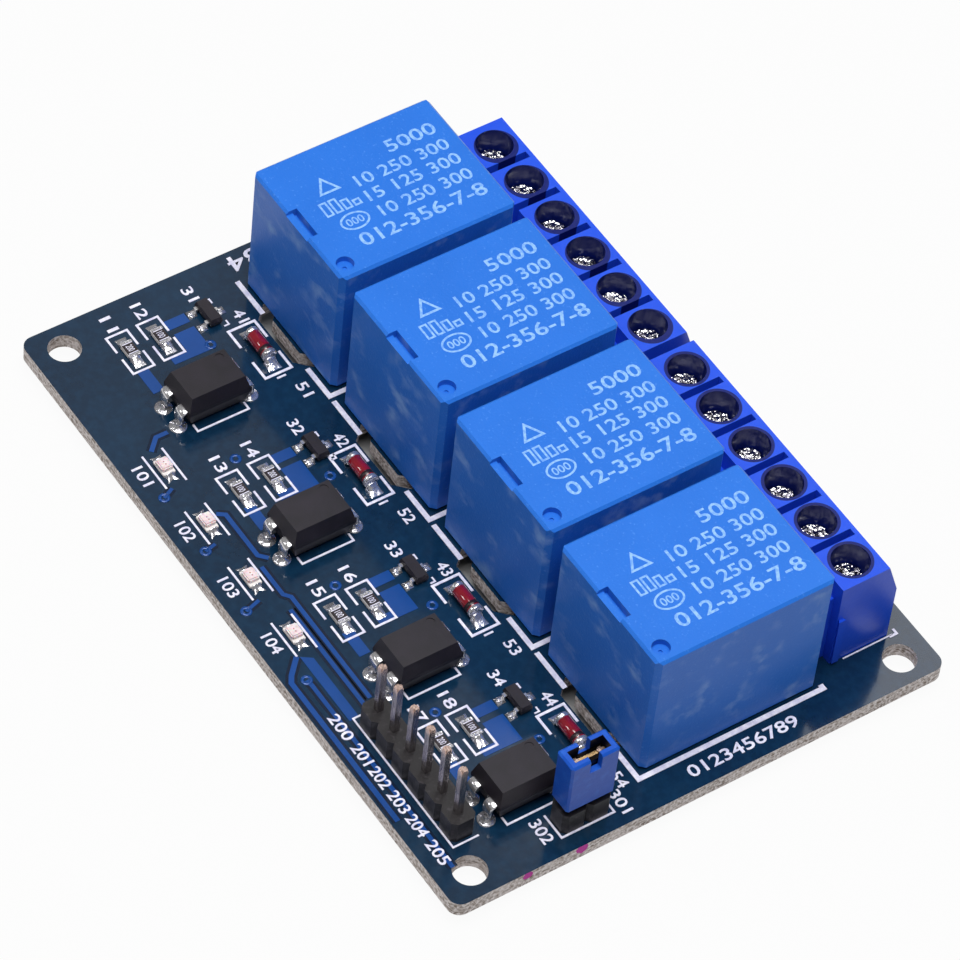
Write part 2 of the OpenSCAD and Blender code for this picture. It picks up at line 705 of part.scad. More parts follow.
// Each lead leaves the body level, turns down, and narrows where it enters the board
module optocoupler_leads() {
    reach = opto_row / 2 - opto_d / 2 + lead_t / 2;
    shoulder_drop = 1.2;
    color("#d8dadc") for (o = opto_spots, sx = [-1, 1], sy = [-1, 1])
        translate([o[0] + sx * pin_pitch / 2, o[1] + sy * opto_d / 2, board_top]) {
            translate([0, sy * reach / 2, shoulder_z - lead_t / 2]) block(shoulder_w, reach, lead_t);
            translate([0, sy * (reach - lead_t / 2), shoulder_z + lead_t / 2 - shoulder_drop])
                block(shoulder_w, lead_t, shoulder_drop);
            translate([0, sy * (reach - lead_t / 2), -through_t])
                block(leg_w, lead_t, through_t + shoulder_z);
        }
}

// ---- headers and jumper ----

// One way of a strip: a square post with its corners cut, pierced for the pin
module strip_way() {
    corner = 0.45;
    linear_extrude(strip_side) difference() {
        polygon([
            [-pin_pitch / 2, -strip_side / 2 + corner], [-pin_pitch / 2 + corner, -strip_side / 2],
            [pin_pitch / 2 - corner, -strip_side / 2], [pin_pitch / 2, -strip_side / 2 + corner],
            [pin_pitch / 2, strip_side / 2 - corner], [pin_pitch / 2 - corner, strip_side / 2],
            [-pin_pitch / 2 + corner, strip_side / 2], [-pin_pitch / 2, strip_side / 2 - corner]
        ]);
        square(pin_side, center = true);
    }
}

module strip(n) {
    for (x = pin_row(n)) translate([x, 0, 0]) strip_way();
}

// Square pin with both ends drawn in
module header_pin() {
    tip = 0.16;
    length = pin_rise + through_t;
    translate([0, 0, -through_t]) intersection() {
        block(pin_side, pin_side, length);
        for (turn = [0, 90])
            rotate([90, 0, turn]) translate([0, 0, -pin_side]) linear_extrude(2 * pin_side)
                drafted_side(pin_side, length, tip, length - 4 * tip);
    }
}

module header_strip() {
    color("#17181b") translate([header_x, header_y, board_top]) strip(header_ways);
}

module header_pins() {
    color("#b9ab9c") translate([header_x, header_y, board_top])
        for (x = pin_row(header_ways)) translate([x, 0, 0]) header_pin();
}

module jumper_strip() {
    color("#17181b") translate([jumper_x, jumper_y, board_top]) rotate([0, 0, 90]) strip(jumper_ways);
}

module jumper_pins() {
    color("#c9a24a") translate([jumper_x, jumper_y, board_top])
        for (y = pin_row(jumper_ways)) translate([0, y, 0]) header_pin();
}

// Blue cap, open at the top in an H so that the clip and the pin tips show
module jumper_cap() {
    cap_z = strip_side + cap_lift;
    cavity_x = pin_side + 2 * run_gap + 2 * clip_t + 2 * seat_gap;
    cavity_y = pin_pitch + pin_side + 0.5;
    window_w = 1.2;
    window_h = 1.7;
    edge = 0.2;
    color("#2457d8") translate([jumper_x, jumper_y, board_top + cap_z]) difference() {
        bevelled_box(cap_w, cap_l, cap_h, edge, edge);
        translate([0, 0, -cut]) block(cavity_x, cavity_y, cap_h + 2 * cut);
        translate([0, 0, cap_h - window_h]) block(cap_w + 2 * cut, window_w, window_h + cut);
    }
}

// Spring clip that bridges the two pins inside the cap
module jumper_clip() {
    clip_z = strip_side + cap_lift + clip_floor;
    clip_h = cap_h - clip_floor - clip_sink;
    clip_l = pin_pitch + pin_side + 0.3;
    inner = pin_side + 2 * run_gap;
    color("#c79a45") translate([jumper_x, jumper_y, board_top + clip_z]) difference() {
        block(inner + 2 * clip_t, clip_l, clip_h);
        translate([0, 0, -cut]) block(inner, clip_l + 2 * cut, clip_h - clip_t + cut);
        for (y = pin_row(jumper_ways))
            translate([0, y, 0]) block(inner, inner, clip_h + cut);
    }
}

// ---- surface-mounted parts ----

// Chip with a metal cap at each end that stands a little proud
module chip(l, w, h, cap_l) {
    proud = 0.04;
    block(l - 2 * cap_l + 2 * proud, w - 2 * proud, h - proud);
    for (s = [-1, 1]) translate([s * (l - cap_l) / 2, 0, 0]) block(cap_l, w, h);
}

module resistors() {
    color("#2c262c") for (r = resistor_spots)
        translate([r[0], r[1], board_top + smd_pad_t]) chip(chip_l, chip_w, chip_h, 0.4);
}

module leds() {
    lens_l = 1.4;
    base_h = 0.3;
    edge = 0.12;
    color("#e8d8d8") for (p = led_spots)
        translate([p[0], p[1], board_top + smd_pad_t]) {
            block(chip_l, chip_w, base_h);
            bevelled_box(lens_l, chip_w, led_h, edge, edge);
        }
}

// Glass tube between two metal caps, lying along X
module diodes() {
    end_l = 0.5;
    glass_gap = 0.06;
    color("#7d1f2a") for (p = diode_spots)
        translate([p[0], p[1], board_top + smd_pad_t + diode_d / 2]) rotate([0, 90, 0]) {
            cylinder(d = diode_d - 2 * glass_gap, h = diode_l - end_l, center = true);
            for (s = [-1, 1]) translate([0, 0, s * (diode_l - end_l) / 2])
                cylinder(d = diode_d, h = end_l, center = true);
        }
}

module transistors() {
    draft = 0.12;
    band = 0.15;
    color("#26242a") for (p = transistor_spots)
        translate([p[0], p[1], board_top + transistor_lift])
            drafted_body(transistor_l, transistor_w, transistor_body_h, draft, band);
}

// Gull-wing leads, two at the front and one at the back
module transistor_leads() {
    sheet = transistor_lead_t;
    out = transistor_lead_out;
    exit_z = transistor_lift + (transistor_body_h - sheet) / 2;
    color("#d8dadc") for (p = transistor_spots, l = transistor_lead_spots)
        translate([p[0] + l[0], p[1] + l[1] * transistor_w / 2, board_top]) {
            translate([0, l[1] * out / 2, exit_z]) block(transistor_lead_w, out, sheet);
            translate([0, l[1] * (out - sheet / 2), smd_pad_t])
                block(transistor_lead_w, sheet, exit_z + sheet - smd_pad_t);
            translate([0, l[1] * (out + transistor_foot_l / 2 - sheet), smd_pad_t])
                block(transistor_lead_w, transistor_foot_l, sheet);
        }
}

// Fillet of solder that climbs an end cap, as a wedge that starts at the cap's face
module end_fillet(w, rise, run) {
    rotate([90, 0, 0]) translate([0, 0, -w / 2]) linear_extrude(w)
        polygon([[0, 0], [run, 0], [run, 0.08], [run * 0.4, rise * 0.35], [0, rise]]);
}

module smd_solder() {
    fillet_run = 1;
    color("#dfe1e4") translate([0, 0, board_top]) {
        for (r = resistor_spots, s = [0, 1])
            translate([r[0], r[1], 0]) mirror([s, 0, 0])
                translate([chip_l / 2, 0, 0]) end_fillet(chip_w, chip_h * 0.8, fillet_run);
        for (p = led_spots, s = [0, 1])
            translate([p[0], p[1], 0]) mirror([s, 0, 0])
                translate([chip_l / 2, 0, 0]) end_fillet(chip_w, 0.3, fillet_run * 0.8);
        for (p = diode_spots, s = [0, 1])
            translate([p[0], p[1], 0]) mirror([s, 0, 0])
                translate([diode_l / 2, 0, 0]) end_fillet(diode_d, diode_d * 0.5, fillet_run);
        // tinned pads under the transistor feet
        for (p = transistor_spots, l = transistor_lead_spots)
            translate([p[0] + l[0], p[1] + l[1] * (transistor_w / 2 + 0.55), 0]) block(0.8, 0.9, smd_pad_t);
        // tinned pads under the chips and diodes
        for (r = concat(resistor_spots, led_spots), s = [-1, 1])
            translate([r[0] + s * (chip_l / 2 - 0.2), r[1], 0]) block(0.4, chip_w, smd_pad_t);
        for (p = diode_spots, s = [-1, 1])
            translate([p[0] + s * (diode_l / 2 - 0.25), p[1], 0]) block(0.5, diode_d, smd_pad_t);
    }
}

circuit_board();
solder_joints();
smd_solder();
for (i = [0 : relay_count - 1]) {
    relay_cover(i);
    relay_base(i);
    relay_coil(i);
    relay_armature(i);
}
relay_terminals();
for (b = [0 : block_count - 1])
    terminal_block(b);
for (w = [0 : block_count * ways - 1]) {
    terminal_screw(w);
    terminal_clamp(w);
}
terminal_bars();
optocouplers();
optocoupler_leads();
header_strip();
header_pins();
jumper_strip();
jumper_pins();
jumper_cap();
jumper_clip();
leds();
resistors();
diodes();
transistors();
transistor_leads();
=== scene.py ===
"""Looks of a four channel relay module: a blue lacquered circuit board that carries four
cube relays, two six-way rising-clamp terminal blocks, optocouplers, a control header and a
supply jumper. The sections follow the board as it is put together."""
import math

import bmesh
import bpy
from mathutils import Matrix, Vector


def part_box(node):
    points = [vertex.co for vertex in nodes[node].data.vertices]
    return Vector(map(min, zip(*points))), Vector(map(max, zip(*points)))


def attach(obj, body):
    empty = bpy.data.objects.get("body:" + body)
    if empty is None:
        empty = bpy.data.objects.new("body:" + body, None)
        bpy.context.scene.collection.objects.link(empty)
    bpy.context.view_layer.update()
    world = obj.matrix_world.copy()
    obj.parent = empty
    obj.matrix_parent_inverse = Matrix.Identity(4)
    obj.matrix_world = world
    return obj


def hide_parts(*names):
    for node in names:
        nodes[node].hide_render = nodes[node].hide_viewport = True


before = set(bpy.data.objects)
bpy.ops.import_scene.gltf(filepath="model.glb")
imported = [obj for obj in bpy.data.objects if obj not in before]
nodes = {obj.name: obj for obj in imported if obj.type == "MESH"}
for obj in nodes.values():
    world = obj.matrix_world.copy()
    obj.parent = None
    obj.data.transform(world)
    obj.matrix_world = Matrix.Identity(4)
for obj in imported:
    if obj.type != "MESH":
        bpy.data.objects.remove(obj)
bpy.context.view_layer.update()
scene = bpy.context.scene

# ---- circuit board ---------------------------------------------------------------------
# A sheet of woven glass and epoxy with a copper layer on each face. Blue lacquer covers both
# faces, and the milled edges and slots show the raw, pale glass laminate.

MM = 0.001


def linear(hex_code):
    """Linear colour, with alpha, of an sRGB hex value"""
    parts = [int(hex_code[i:i + 2], 16) / 255 for i in (1, 3, 5)]
    return [c / 12.92 if c <= 0.04045 else ((c + 0.055) / 1.055) ** 2.4 for c in parts] + [1]


def add_node(tree, kind, settings=None, values=None, links=None):
    """Adds one node with its settings, the values of its sockets, and what feeds its sockets"""
    node = tree.nodes.new(kind)
    for name, value in (settings or {}).items():
        setattr(node, name, value)
    for socket, value in (values or {}).items():
        node.inputs[socket].default_value = value
    for socket, source in (links or {}).items():
        tree.links.new(source, node.inputs[socket])
    return node


def maths(tree, operation, first, second=0.0):
    """Result of one operation on two sockets or numbers"""
    node = add_node(tree, "ShaderNodeMath", {"operation": operation})
    for socket, value in enumerate((first, second)):
        if isinstance(value, (int, float)):
            node.inputs[socket].default_value = value
        else:
            tree.links.new(value, node.inputs[socket])
    return node.outputs[0]


def remap(tree, value, low=0.0, high=1.0, start=0.0, end=1.0):
    """Runs from low to high while the value goes from start to end"""
    node = add_node(tree, "ShaderNodeMapRange", values={
        "From Min": start, "From Max": end, "To Min": low, "To Max": high}, links={"Value": value})
    return node.outputs[0]


def axes(tree, vector):
    """Outputs X, Y and Z of a vector"""
    return add_node(tree, "ShaderNodeSeparateXYZ", links={0: vector}).outputs


def upward(tree):
    """1 where the surface faces straight up, 0 on upright walls and -1 underneath"""
    return axes(tree, add_node(tree, "ShaderNodeNewGeometry").outputs["True Normal"])["Z"]


def new_material(name, **values):
    """Material with one Principled shader, and the Object coordinates that its patterns read"""
    material = bpy.data.materials.new(name)
    material.use_nodes = True
    tree = material.node_tree
    shader = tree.nodes["Principled BSDF"]
    for socket, value in values.items():
        shader.inputs[socket.replace("_", " ")].default_value = value
    place = add_node(tree, "ShaderNodeTexCoord").outputs["Object"]
    return material, tree, shader, place


def blend_colours(tree, factor, first, second):
    """Colour that runs from the first hex value, or socket, to the second as factor goes from 0 to 1"""
    mix = add_node(tree, "ShaderNodeMix", {"data_type": "RGBA"}, links={0: factor})
    for socket, colour in ((6, first), (7, second)):
        if isinstance(colour, str):
            mix.inputs[socket].default_value = linear(colour)
        else:
            tree.links.new(colour, mix.inputs[socket])
    return mix.outputs[2]


def paint(tree, shader, factor, first, second):
    """Gives the shader a colour that blend_colours makes"""
    tree.links.new(blend_colours(tree, factor, first, second), shader.inputs["Base Color"])


def grain(tree, place, size_mm, detail=2.0, stretch=(1, 1, 1)):
    """Noise whose blotches are about this many millimetres across, times the stretch on each axis"""
    scaled = add_node(tree, "ShaderNodeMapping", values={"Scale": [1 / s for s in stretch]},
                      links={"Vector": place})
    noise = add_node(tree, "ShaderNodeTexNoise", values={"Scale": 1000 / size_mm, "Detail": detail},
                     links={"Vector": scaled.outputs[0]})
    return noise.outputs["Fac"]


def steps(tree, factor, *stops):
    """Ramp of (position, level) pairs"""
    ramp = add_node(tree, "ShaderNodeValToRGB", links={"Fac": factor})
    for i, (position, level) in enumerate(stops):
        element = ramp.color_ramp.elements[i] if i < 2 else ramp.color_ramp.elements.new(position)
        element.position = position
        element.color = (level, level, level, 1)
    return ramp.outputs["Color"]


def bump(tree, shader, height, depth_mm, strength=1.0):
    """Raises the surface by this many millimetres where height is 1"""
    node = add_node(tree, "ShaderNodeBump", values={"Distance": depth_mm * MM, "Strength": strength},
                    links={"Height": height})
    tree.links.new(node.outputs["Normal"], shader.inputs["Normal"])


def mottled(name, size_mm, first, second, detail=2.0, relief=None, stops=None, **values):
    """Material whose colour drifts between two hex values, through a ramp if it has stops. Its
    relief is a grain's size, detail and depth"""
    material, tree, shader, place = new_material(name, **values)
    drift = grain(tree, place, size_mm, detail)
    paint(tree, shader, steps(tree, drift, *stops) if stops else drift, first, second)
    if relief:
        bump(tree, shader, grain(tree, place, *relief[:2]), relief[2])
    return material


# Two dots of magenta marker on the edge, left where the panel was cut: middle and radius
MARKER_DOTS = (((36.75, -13.1, 2.8), 0.62), ((36.75, -18.75, 2.8), 0.5))


def marker_spots(tree, place):
    """1 in the marker's dots, whose rims are ragged, and 0 elsewhere"""
    ragged = remap(tree, grain(tree, place, 0.5, 3), 0.6, 1.4)
    found = 0.0
    for spot, radius in MARKER_DOTS:
        away = add_node(tree, "ShaderNodeVectorMath", {"operation": "DISTANCE"},
                        {1: [v * MM for v in spot]}, {0: place}).outputs["Value"]
        dot = maths(tree, "LESS_THAN", away, maths(tree, "MULTIPLY", ragged, radius * MM))
        found = maths(tree, "MAXIMUM", found, dot)
    return found


def laminate_shader(tree, place):
    """Raw milled glass laminate: pale, rough, with thin layers of cloth and darker resin"""
    layers = grain(tree, place, 0.22, 4, stretch=(9, 9, 1))
    specks = grain(tree, place, 0.35, 3)
    pale = blend_colours(tree, steps(tree, layers, (0.35, 0), (0.62, 1)), "#7a6b5e", "#dcd1cc")
    worn = blend_colours(tree, steps(tree, specks, (0.42, 0), (0.62, 1)), pale, "#f4ecea")
    marked = blend_colours(tree, marker_spots(tree, place), worn, "#c93aa6")
    shader = add_node(tree, "ShaderNodeBsdfPrincipled", values={"Roughness": 0.75, "IOR": 1.5},
                      links={"Base Color": marked})
    bump(tree, shader, specks, 0.12)
    return shader


def board_material():
    """Lacquered laminate: dark sea blue and glossy on the faces, pale and fibrous on cut walls"""
    material, tree, shader, place = new_material(
        "lacquered_glass_laminate", Roughness=0.16, IOR=1.5, Coat_Weight=0.35, Coat_Roughness=0.06)
    blue = blend_colours(tree, grain(tree, place, 9, 3), "#071a2e", "#0c2f49")
    mottle = steps(tree, grain(tree, place, 0.7, 4), (0.4, 0), (0.8, 0.3))
    paint(tree, shader, mottle, blue, "#18405f")
    bump(tree, shader, grain(tree, place, 1.6, 3), 0.008)
    flat = maths(tree, "GREATER_THAN", maths(tree, "ABSOLUTE", upward(tree)), 0.5)
    mix = add_node(tree, "ShaderNodeMixShader", links={
        0: flat, 1: laminate_shader(tree, place).outputs[0], 2: shader.outputs[0]})
    tree.links.new(mix.outputs[0], tree.nodes["Material Output"].inputs["Surface"])
    return material


def numbered(name, count):
    """Names of a row of pieces, counted from 1"""
    return [f"{name}_{i + 1}" for i in range(count)]


def repaint(material, *names):
    """Gives these CAD nodes this finish"""
    for name in names:
        nodes[name].data.materials.clear()
        nodes[name].data.materials.append(material)


repaint(board_material(), "circuit_board")


def box_mm(name):
    """Lowest and highest corner of a CAD node, in millimetres"""
    return [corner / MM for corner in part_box(name)]


board_low, board_high = box_mm("circuit_board")
TOP = board_high.z
UNDER = board_low.z


def solids(name):
    """Boxes, in millimetres, of the solids in a CAD node, from left to right and front to back"""
    mesh = bmesh.new()
    mesh.from_mesh(nodes[name].data)
    bmesh.ops.remove_doubles(mesh, verts=mesh.verts, dist=1e-6)
    mesh.verts.ensure_lookup_table()
    left, found = set(mesh.verts), []
    while left:
        group, edge = [], [left.pop()]
        while edge:
            vertex = edge.pop()
            group.append(vertex.co / MM)
            for link in vertex.link_edges:
                other = link.other_vert(vertex)
                if other in left:
                    left.remove(other)
                    edge.append(other)
        found.append([Vector(pick(p[i] for p in group) for i in range(3)) for pick in (min, max)])
    mesh.free()
    return sorted(found, key=lambda b: (round(b[0].x, 1), round(b[0].y, 1)))


def middle(box):
    return (box[0] + box[1]) / 2


def prism(mesh, outline, low, high, index=0):
    """Closed plate with this outline, given anticlockwise, between two heights"""
    lower = [mesh.verts.new((x, y, low)) for x, y in outline]
    upper = [mesh.verts.new((x, y, high)) for x, y in outline]
    faces = [mesh.faces.new(lower[::-1]), mesh.faces.new(upper)]
    for i, vertex in enumerate(lower):
        j = (i + 1) % len(lower)
        faces.append(mesh.faces.new((vertex, lower[j], upper[j], upper[i])))
    for face in faces:
        face.material_index = index


def square(x, y, half):
    """Corners of a square round this spot, anticlockwise"""
    return [(x - half, y - half), (x + half, y - half), (x + half, y + half), (x - half, y + half)]


def stroke(mesh, points, width, low, high, closed=False, index=0):
    """Line of this width along the points, with mitred bends, as a closed plate"""
    points = [Vector(p) for p in points]
    left, right = [], []
    for i, point in enumerate(points):
        before = points[i - 1] if i or closed else None
        after = points[(i + 1) % len(points)] if i + 1 < len(points) or closed else None
        ways = [d.normalized() for d in (point - before if before else None,
                                         after - point if after else None) if d]
        side = sum((Vector((-d.y, d.x)) for d in ways), Vector((0, 0))).normalized()
        side *= width / 2 / max(0.3, side.dot(Vector((-ways[0].y, ways[0].x))))
        left.append(point + side)
        right.append(point - side)
    if not closed:
        prism(mesh, right + left[::-1], low, high, index)
        return
    for i in range(len(points)):
        j = (i + 1) % len(points)
        prism(mesh, [right[i], right[j], left[j], left[i]], low, high, index)


def place_piece(name, mesh, materials, smooth=False):
    """Turns a mesh drawn in millimetres into an object in the frame"""
    bmesh.ops.recalc_face_normals(mesh, faces=mesh.faces)
    bmesh.ops.scale(mesh, vec=(MM, MM, MM), verts=mesh.verts)
    data = bpy.data.meshes.new(name)
    mesh.to_mesh(data)
    mesh.free()
    for material in materials:
        data.materials.append(material)
    data.polygons.foreach_set("use_smooth", [smooth] * len(data.polygons))
    piece = bpy.data.objects.new(name, data)
    scene.collection.objects.link(piece)
    return piece


# ---- copper under the lacquer ----------------------------------------------------------
# Etched copper foil, 0.035 mm thick, lies under the lacquer, so tracks and pours show as
# brighter blue fields with raised edges.

FOIL = 0.035
ETCHED_GAP = 0.28
POWER_WIDTH = 2.3
opto_boxes = solids("optocouplers")
transistor_boxes = solids("transistors")


def driver_copper(mesh):
    """Pads and short tracks round each transistor"""
    fields = [
        [(-1.45, -4.05), (-0.3, -4.05), (-0.3, -1.8), (-1.45, -1.8)],
        [(2.6, -5.75), (3.5, -5.75), (3.55, -1.8), (0.35, -1.8), (0.35, -3.95), (2.6, -3.95)],
        [(2.6, -9.3), (5.55, -9.3), (5.55, -8.15), (2.6, -8.15)],
    ]
    for box in transistor_boxes:
        centre = middle(box)
        for field in fields:
            prism(mesh, [(centre.x + x, centre.y + y) for x, y in field], TOP, TOP + FOIL)


def input_copper(mesh):
    """Tracks from the header past the lamps, and the pour along the front edge"""
    tracks = [
        ([(-20.75, -20), (-20.75, -21.25), (-19.5, -22.5)], 0.45),
        ([(-10.4, -21.2), (-9.9, -20.5), (-4.5, -20.5), (-3.75, -19.8)], 0.45),
        ([(-3.2, -20.9), (0.4, -20.9), (1, -20.4), (14, -20.4)], 0.42),
        ([(2.2, -21.25), (13.6, -21.25), (14.6, -21.25)], 0.42),
        ([(6.95, -23.6), (8.5, -25.1), (9.2, -25.55), (26.5, -25.55)], 0.5),
        ([(9.6, -24.2), (10.3, -24.1), (33, -24.1)], 0.42),
        ([(-14.9, -23.1), (-14.3, -24.3)], 0.35),
        ([(-7.5, -23.1), (-7.2, -24.3)], 0.35),
        ([(-0.1, -23.1), (0.4, -24.75)], 0.35),
    ]
    for route, width in tracks:
        stroke(mesh, route, width + 2 * ETCHED_GAP, TOP, TOP + FOIL / 3, index=1)
        stroke(mesh, route, width, TOP, TOP + FOIL)
    prism(mesh, [(7.1, -23.35), (15.3, -23.35), (15.3, -22.35), (7.8, -22.35)], TOP, TOP + FOIL)


def power_copper(mesh):
    """Wide tracks on the underside, from each relay's contacts to its three screws"""
    for i, tail in enumerate(solids("terminal_bars")):
        low, high = box_mm(f"relay_cover_{i // 3 + 1}")
        side = i % 3 - 1
        pin = ((low.x + high.x) / 2 + 6 * side, high.y - 2.4 if side else low.y + 2.4)
        start = (middle(tail).x, tail[0].y + 0.3)
        stroke(mesh, [start, (start[0], start[1] - 1.6), (pin[0], high.y - 1.2), pin],
               POWER_WIDTH, UNDER - FOIL, UNDER)


# over copper the lacquer is a clearer, lighter blue; over the gap beside a track it is darkest
copper = mottled("lacquer_over_copper", 5, "#103c7a", "#174f9e", 3, (0.8, 3, 0.01), Roughness=0.2,
                 IOR=1.5, Metallic=0.12, Coat_Weight=0.35, Coat_Roughness=0.06)
etched = mottled("lacquer_over_etched_gap", 3, "#071528", "#0a1e38", 3, Roughness=0.2, IOR=1.5)
mesh = bmesh.new()
driver_copper(mesh)
input_copper(mesh)
power_copper(mesh)
copper_tracks = place_piece("copper_tracks", mesh, [copper, etched])
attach(copper_tracks, "board")

# ---- printed legend --------------------------------------------------------------------
# White epoxy ink, screened on to the lacquer: outlines of the parts, and plain numbers.

INK = 0.06


def figures(mesh, body, low, high, z, turn=0, thickness=INK, bold=0.012):
    """Plain figures that fill the box from low to high, turned by this many degrees"""
    curve = bpy.data.curves.new("figures", "FONT")
    curve.body, curve.extrude, curve.offset, curve.resolution_u = body, 0.1, bold, 3
    writer = bpy.data.objects.new("figures", curve)
    scene.collection.objects.link(writer)
    shape = bpy.data.meshes.new_from_object(writer.evaluated_get(
        bpy.context.evaluated_depsgraph_get()))
    bpy.data.objects.remove(writer)
    shape.transform(Matrix.Rotation(math.radians(turn), 4, "Z"))
    corners = [v.co for v in shape.vertices]
    first = Vector(min(c[i] for c in corners) for i in range(3))
    span = Vector(max(c[i] for c in corners) for i in range(3)) - first
    scale = ((high[0] - low[0]) / span.x, (high[1] - low[1]) / span.y, thickness / span.z)
    shape.transform(Matrix.Translation((low[0], low[1], z)) @ Matrix.Diagonal((*scale, 1))
                    @ Matrix.Translation(-first))
    mesh.from_mesh(shape)
    bpy.data.meshes.remove(shape)


def outline_with_gaps(mesh, centre, half, line, gap):
    """Rectangle of lines whose two long sides are open in the middle"""
    for side in (-1, 1):
        x, y = half[0] * side, half[1]
        stroke(mesh, [(centre.x + side * gap / 2, centre.y - y), (centre.x + x, centre.y - y),
                      (centre.x + x, centre.y + y), (centre.x + side * gap / 2, centre.y + y)],
               line, TOP, TOP + INK)


def part_outlines(mesh):
    """Outlines of the resistors, diodes, lamps, optocouplers, transistors and headers"""
    ink = (TOP, TOP + INK)
    for box in solids("resistors"):
        outline_with_gaps(mesh, middle(box), (2.45, 1.12), 0.22, 0.9)
    for box in solids("diodes"):
        centre = middle(box)
        outline_with_gaps(mesh, centre, (3.25, 1.42), 0.26, 2)
        x = centre.x + 3.75
        stroke(mesh, [(x, centre.y - 0.48), (x, centre.y + 0.48)], 0.2, *ink)
    for box in solids("leds"):
        centre = middle(box)
        for y in (-1.05, 1.05):
            stroke(mesh, [(centre.x - 2.15, centre.y + y), (centre.x + 2.15, centre.y + y)], 0.2, *ink)
    for box in opto_boxes:
        x, low, high = box[1].x + 0.4, box[0].y + 0.7, box[1].y - 0.35
        stroke(mesh, [(x - 0.9, low), (x, low), (x, high), (x - 0.9, high)], 0.2, *ink)
    for box in transistor_boxes:
        centre = middle(box)
        for side in (-1, 1):
            x, y = centre.x + 1.75 * side, centre.y + 1.15
            stroke(mesh, [(x - 0.55 * side, y), (x, y), (x, y - 0.5)], 0.16, *ink)
    low, high = box_mm("header_strip")
    stroke(mesh, [(low.x - 0.45, high.y - 0.3), (low.x - 0.45, low.y - 0.1), (high.x + 0.35, low.y - 0.1),
                  (high.x + 0.35, high.y + 0.05)], 0.18, *ink)
    low, high = box_mm("jumper_strip")
    stroke(mesh, [(low.x - 0.15, low.y - 0.2), (high.x + 0.1, low.y - 0.2), (high.x + 0.1, high.y + 0.25),
                  (high.x - 0.8, high.y + 0.25)], 0.2, *ink)
    low, high = box_mm("terminal_block_2")
    stroke(mesh, [(high.x - 0.12, low.y + 2.6), (high.x - 0.12, high.y + 0.5)], 0.13, *ink)
    stroke(mesh, [(high.x, high.y + 0.1), (high.x, high.y + 0.9), (high.x - 0.6, high.y + 0.9)],
           0.24, *ink)


def relay_outlines(mesh):
    """Broad line round each relay, left open where the milled slot crosses it"""
    for i in range(4):
        low, high = box_mm(f"relay_cover_{i + 1}")
        x, front, back = (low.x + high.x) / 2, low.y - 0.63, high.y + 0.3
        stroke(mesh, [(x - 3.4, front), (x - 7.95, front)], 0.5, TOP, TOP + INK)
        stroke(mesh, [(x + 4.3, front), (x + 8.15, front), (x + 8.15, back), (x + 7.7, back)],
               0.5, TOP, TOP + INK)


def part_numbers(mesh):
    """Plain numbers beside the parts"""
    def label(body, x0, x1, y0, y1, turn=0):
        figures(mesh, body, (x0, y0), (x1, y1), TOP, turn)

    # each row: a kind of part, its first number, and the number's extent along X and along Y
    for name, number, x0, x1, y0, y1 in (
            ("resistors", 11, -4.75, -2.9, -0.55, 0.6), ("transistors", 31, -4.05, -2.3, -0.65, 0.5),
            ("diodes", 41, -5.15, -3.6, 0.05, 1.2), ("diodes", 51, 5.25, 6.95, 0.45, 1.6),
            ("leds", 101, -1.3, 1, -2.75, -1.6)):
        for i, box in enumerate(solids(name)):
            x, y = middle(box)[:2]
            label(str(number + i), x + x0, x + x1, y + y0, y + y1)
    spots = [(14, 17), (17.75, 20.1), (20.6, 23.05), (23.6, 26.1), (26.55, 29), (29.7, 32.4)]
    for i, (x0, x1) in enumerate(spots):
        label(str(200 + i), x0, x1, -24.95, -23.8)
    label("301", 33.2, 35.75, -8.2, -7.05)
    label("302", 32.4, 35.05, -16, -14.8)
    label("0123456789", 34.3, 35.6, -0.7, 11, 90)
    label("1234", -36.1, -34.2, -4.5, 1.6, -90)


mesh = bmesh.new()
part_outlines(mesh)
relay_outlines(mesh)
part_numbers(mesh)
# the ink is matt and slightly grey, and thin where the screen left it uneven
legend_ink = mottled("white_legend_ink", 0.5, "#cbc9e2", "#f1effa", 3, stops=((0.3, 0), (0.7, 1)),
                     Roughness=0.55, IOR=1.45)
printed_legend = place_piece("printed_legend", mesh, [legend_ink])
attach(printed_legend, "board")

# ---- plated holes ----------------------------------------------------------------------
# Copper rings round the drilled holes: small ones under the lacquer where the two faces join,
# and larger, tinned ones round the optocouplers' leads.


def tin_material():
    """Hot-dipped solder: bright and wavy, so that it throws small, broken highlights"""
    material, tree, shader, place = new_material("bright_solder", Metallic=0.86, Roughness=0.16)
    dull = steps(tree, grain(tree, place, 0.5, 3), (0.4, 0), (0.7, 1))
    paint(tree, shader, dull, "#f4f3f7", "#c4c1c8")
    tree.links.new(remap(tree, dull, 0.08, 0.38), shader.inputs["Roughness"])
    bump(tree, shader, grain(tree, place, 0.45, 2), 0.08)
    return material


def point_tree(name, sizes):
    """New geometry tree that takes points, sizes, a turn and a finish, and its input sockets"""
    tree = bpy.data.node_groups.new(name, "GeometryNodeTree")
    kinds = [("Points", "Geometry")] + [(size, "Float") for size in sizes]
    for label, kind in kinds + [("Turn", "Vector"), ("Finish", "Material")]:
        tree.interface.new_socket(name=label, in_out="INPUT", socket_type="NodeSocket" + kind)
    tree.interface.new_socket(name="Result", in_out="OUTPUT", socket_type="NodeSocketGeometry")
    return tree, add_node(tree, "NodeGroupInput").outputs


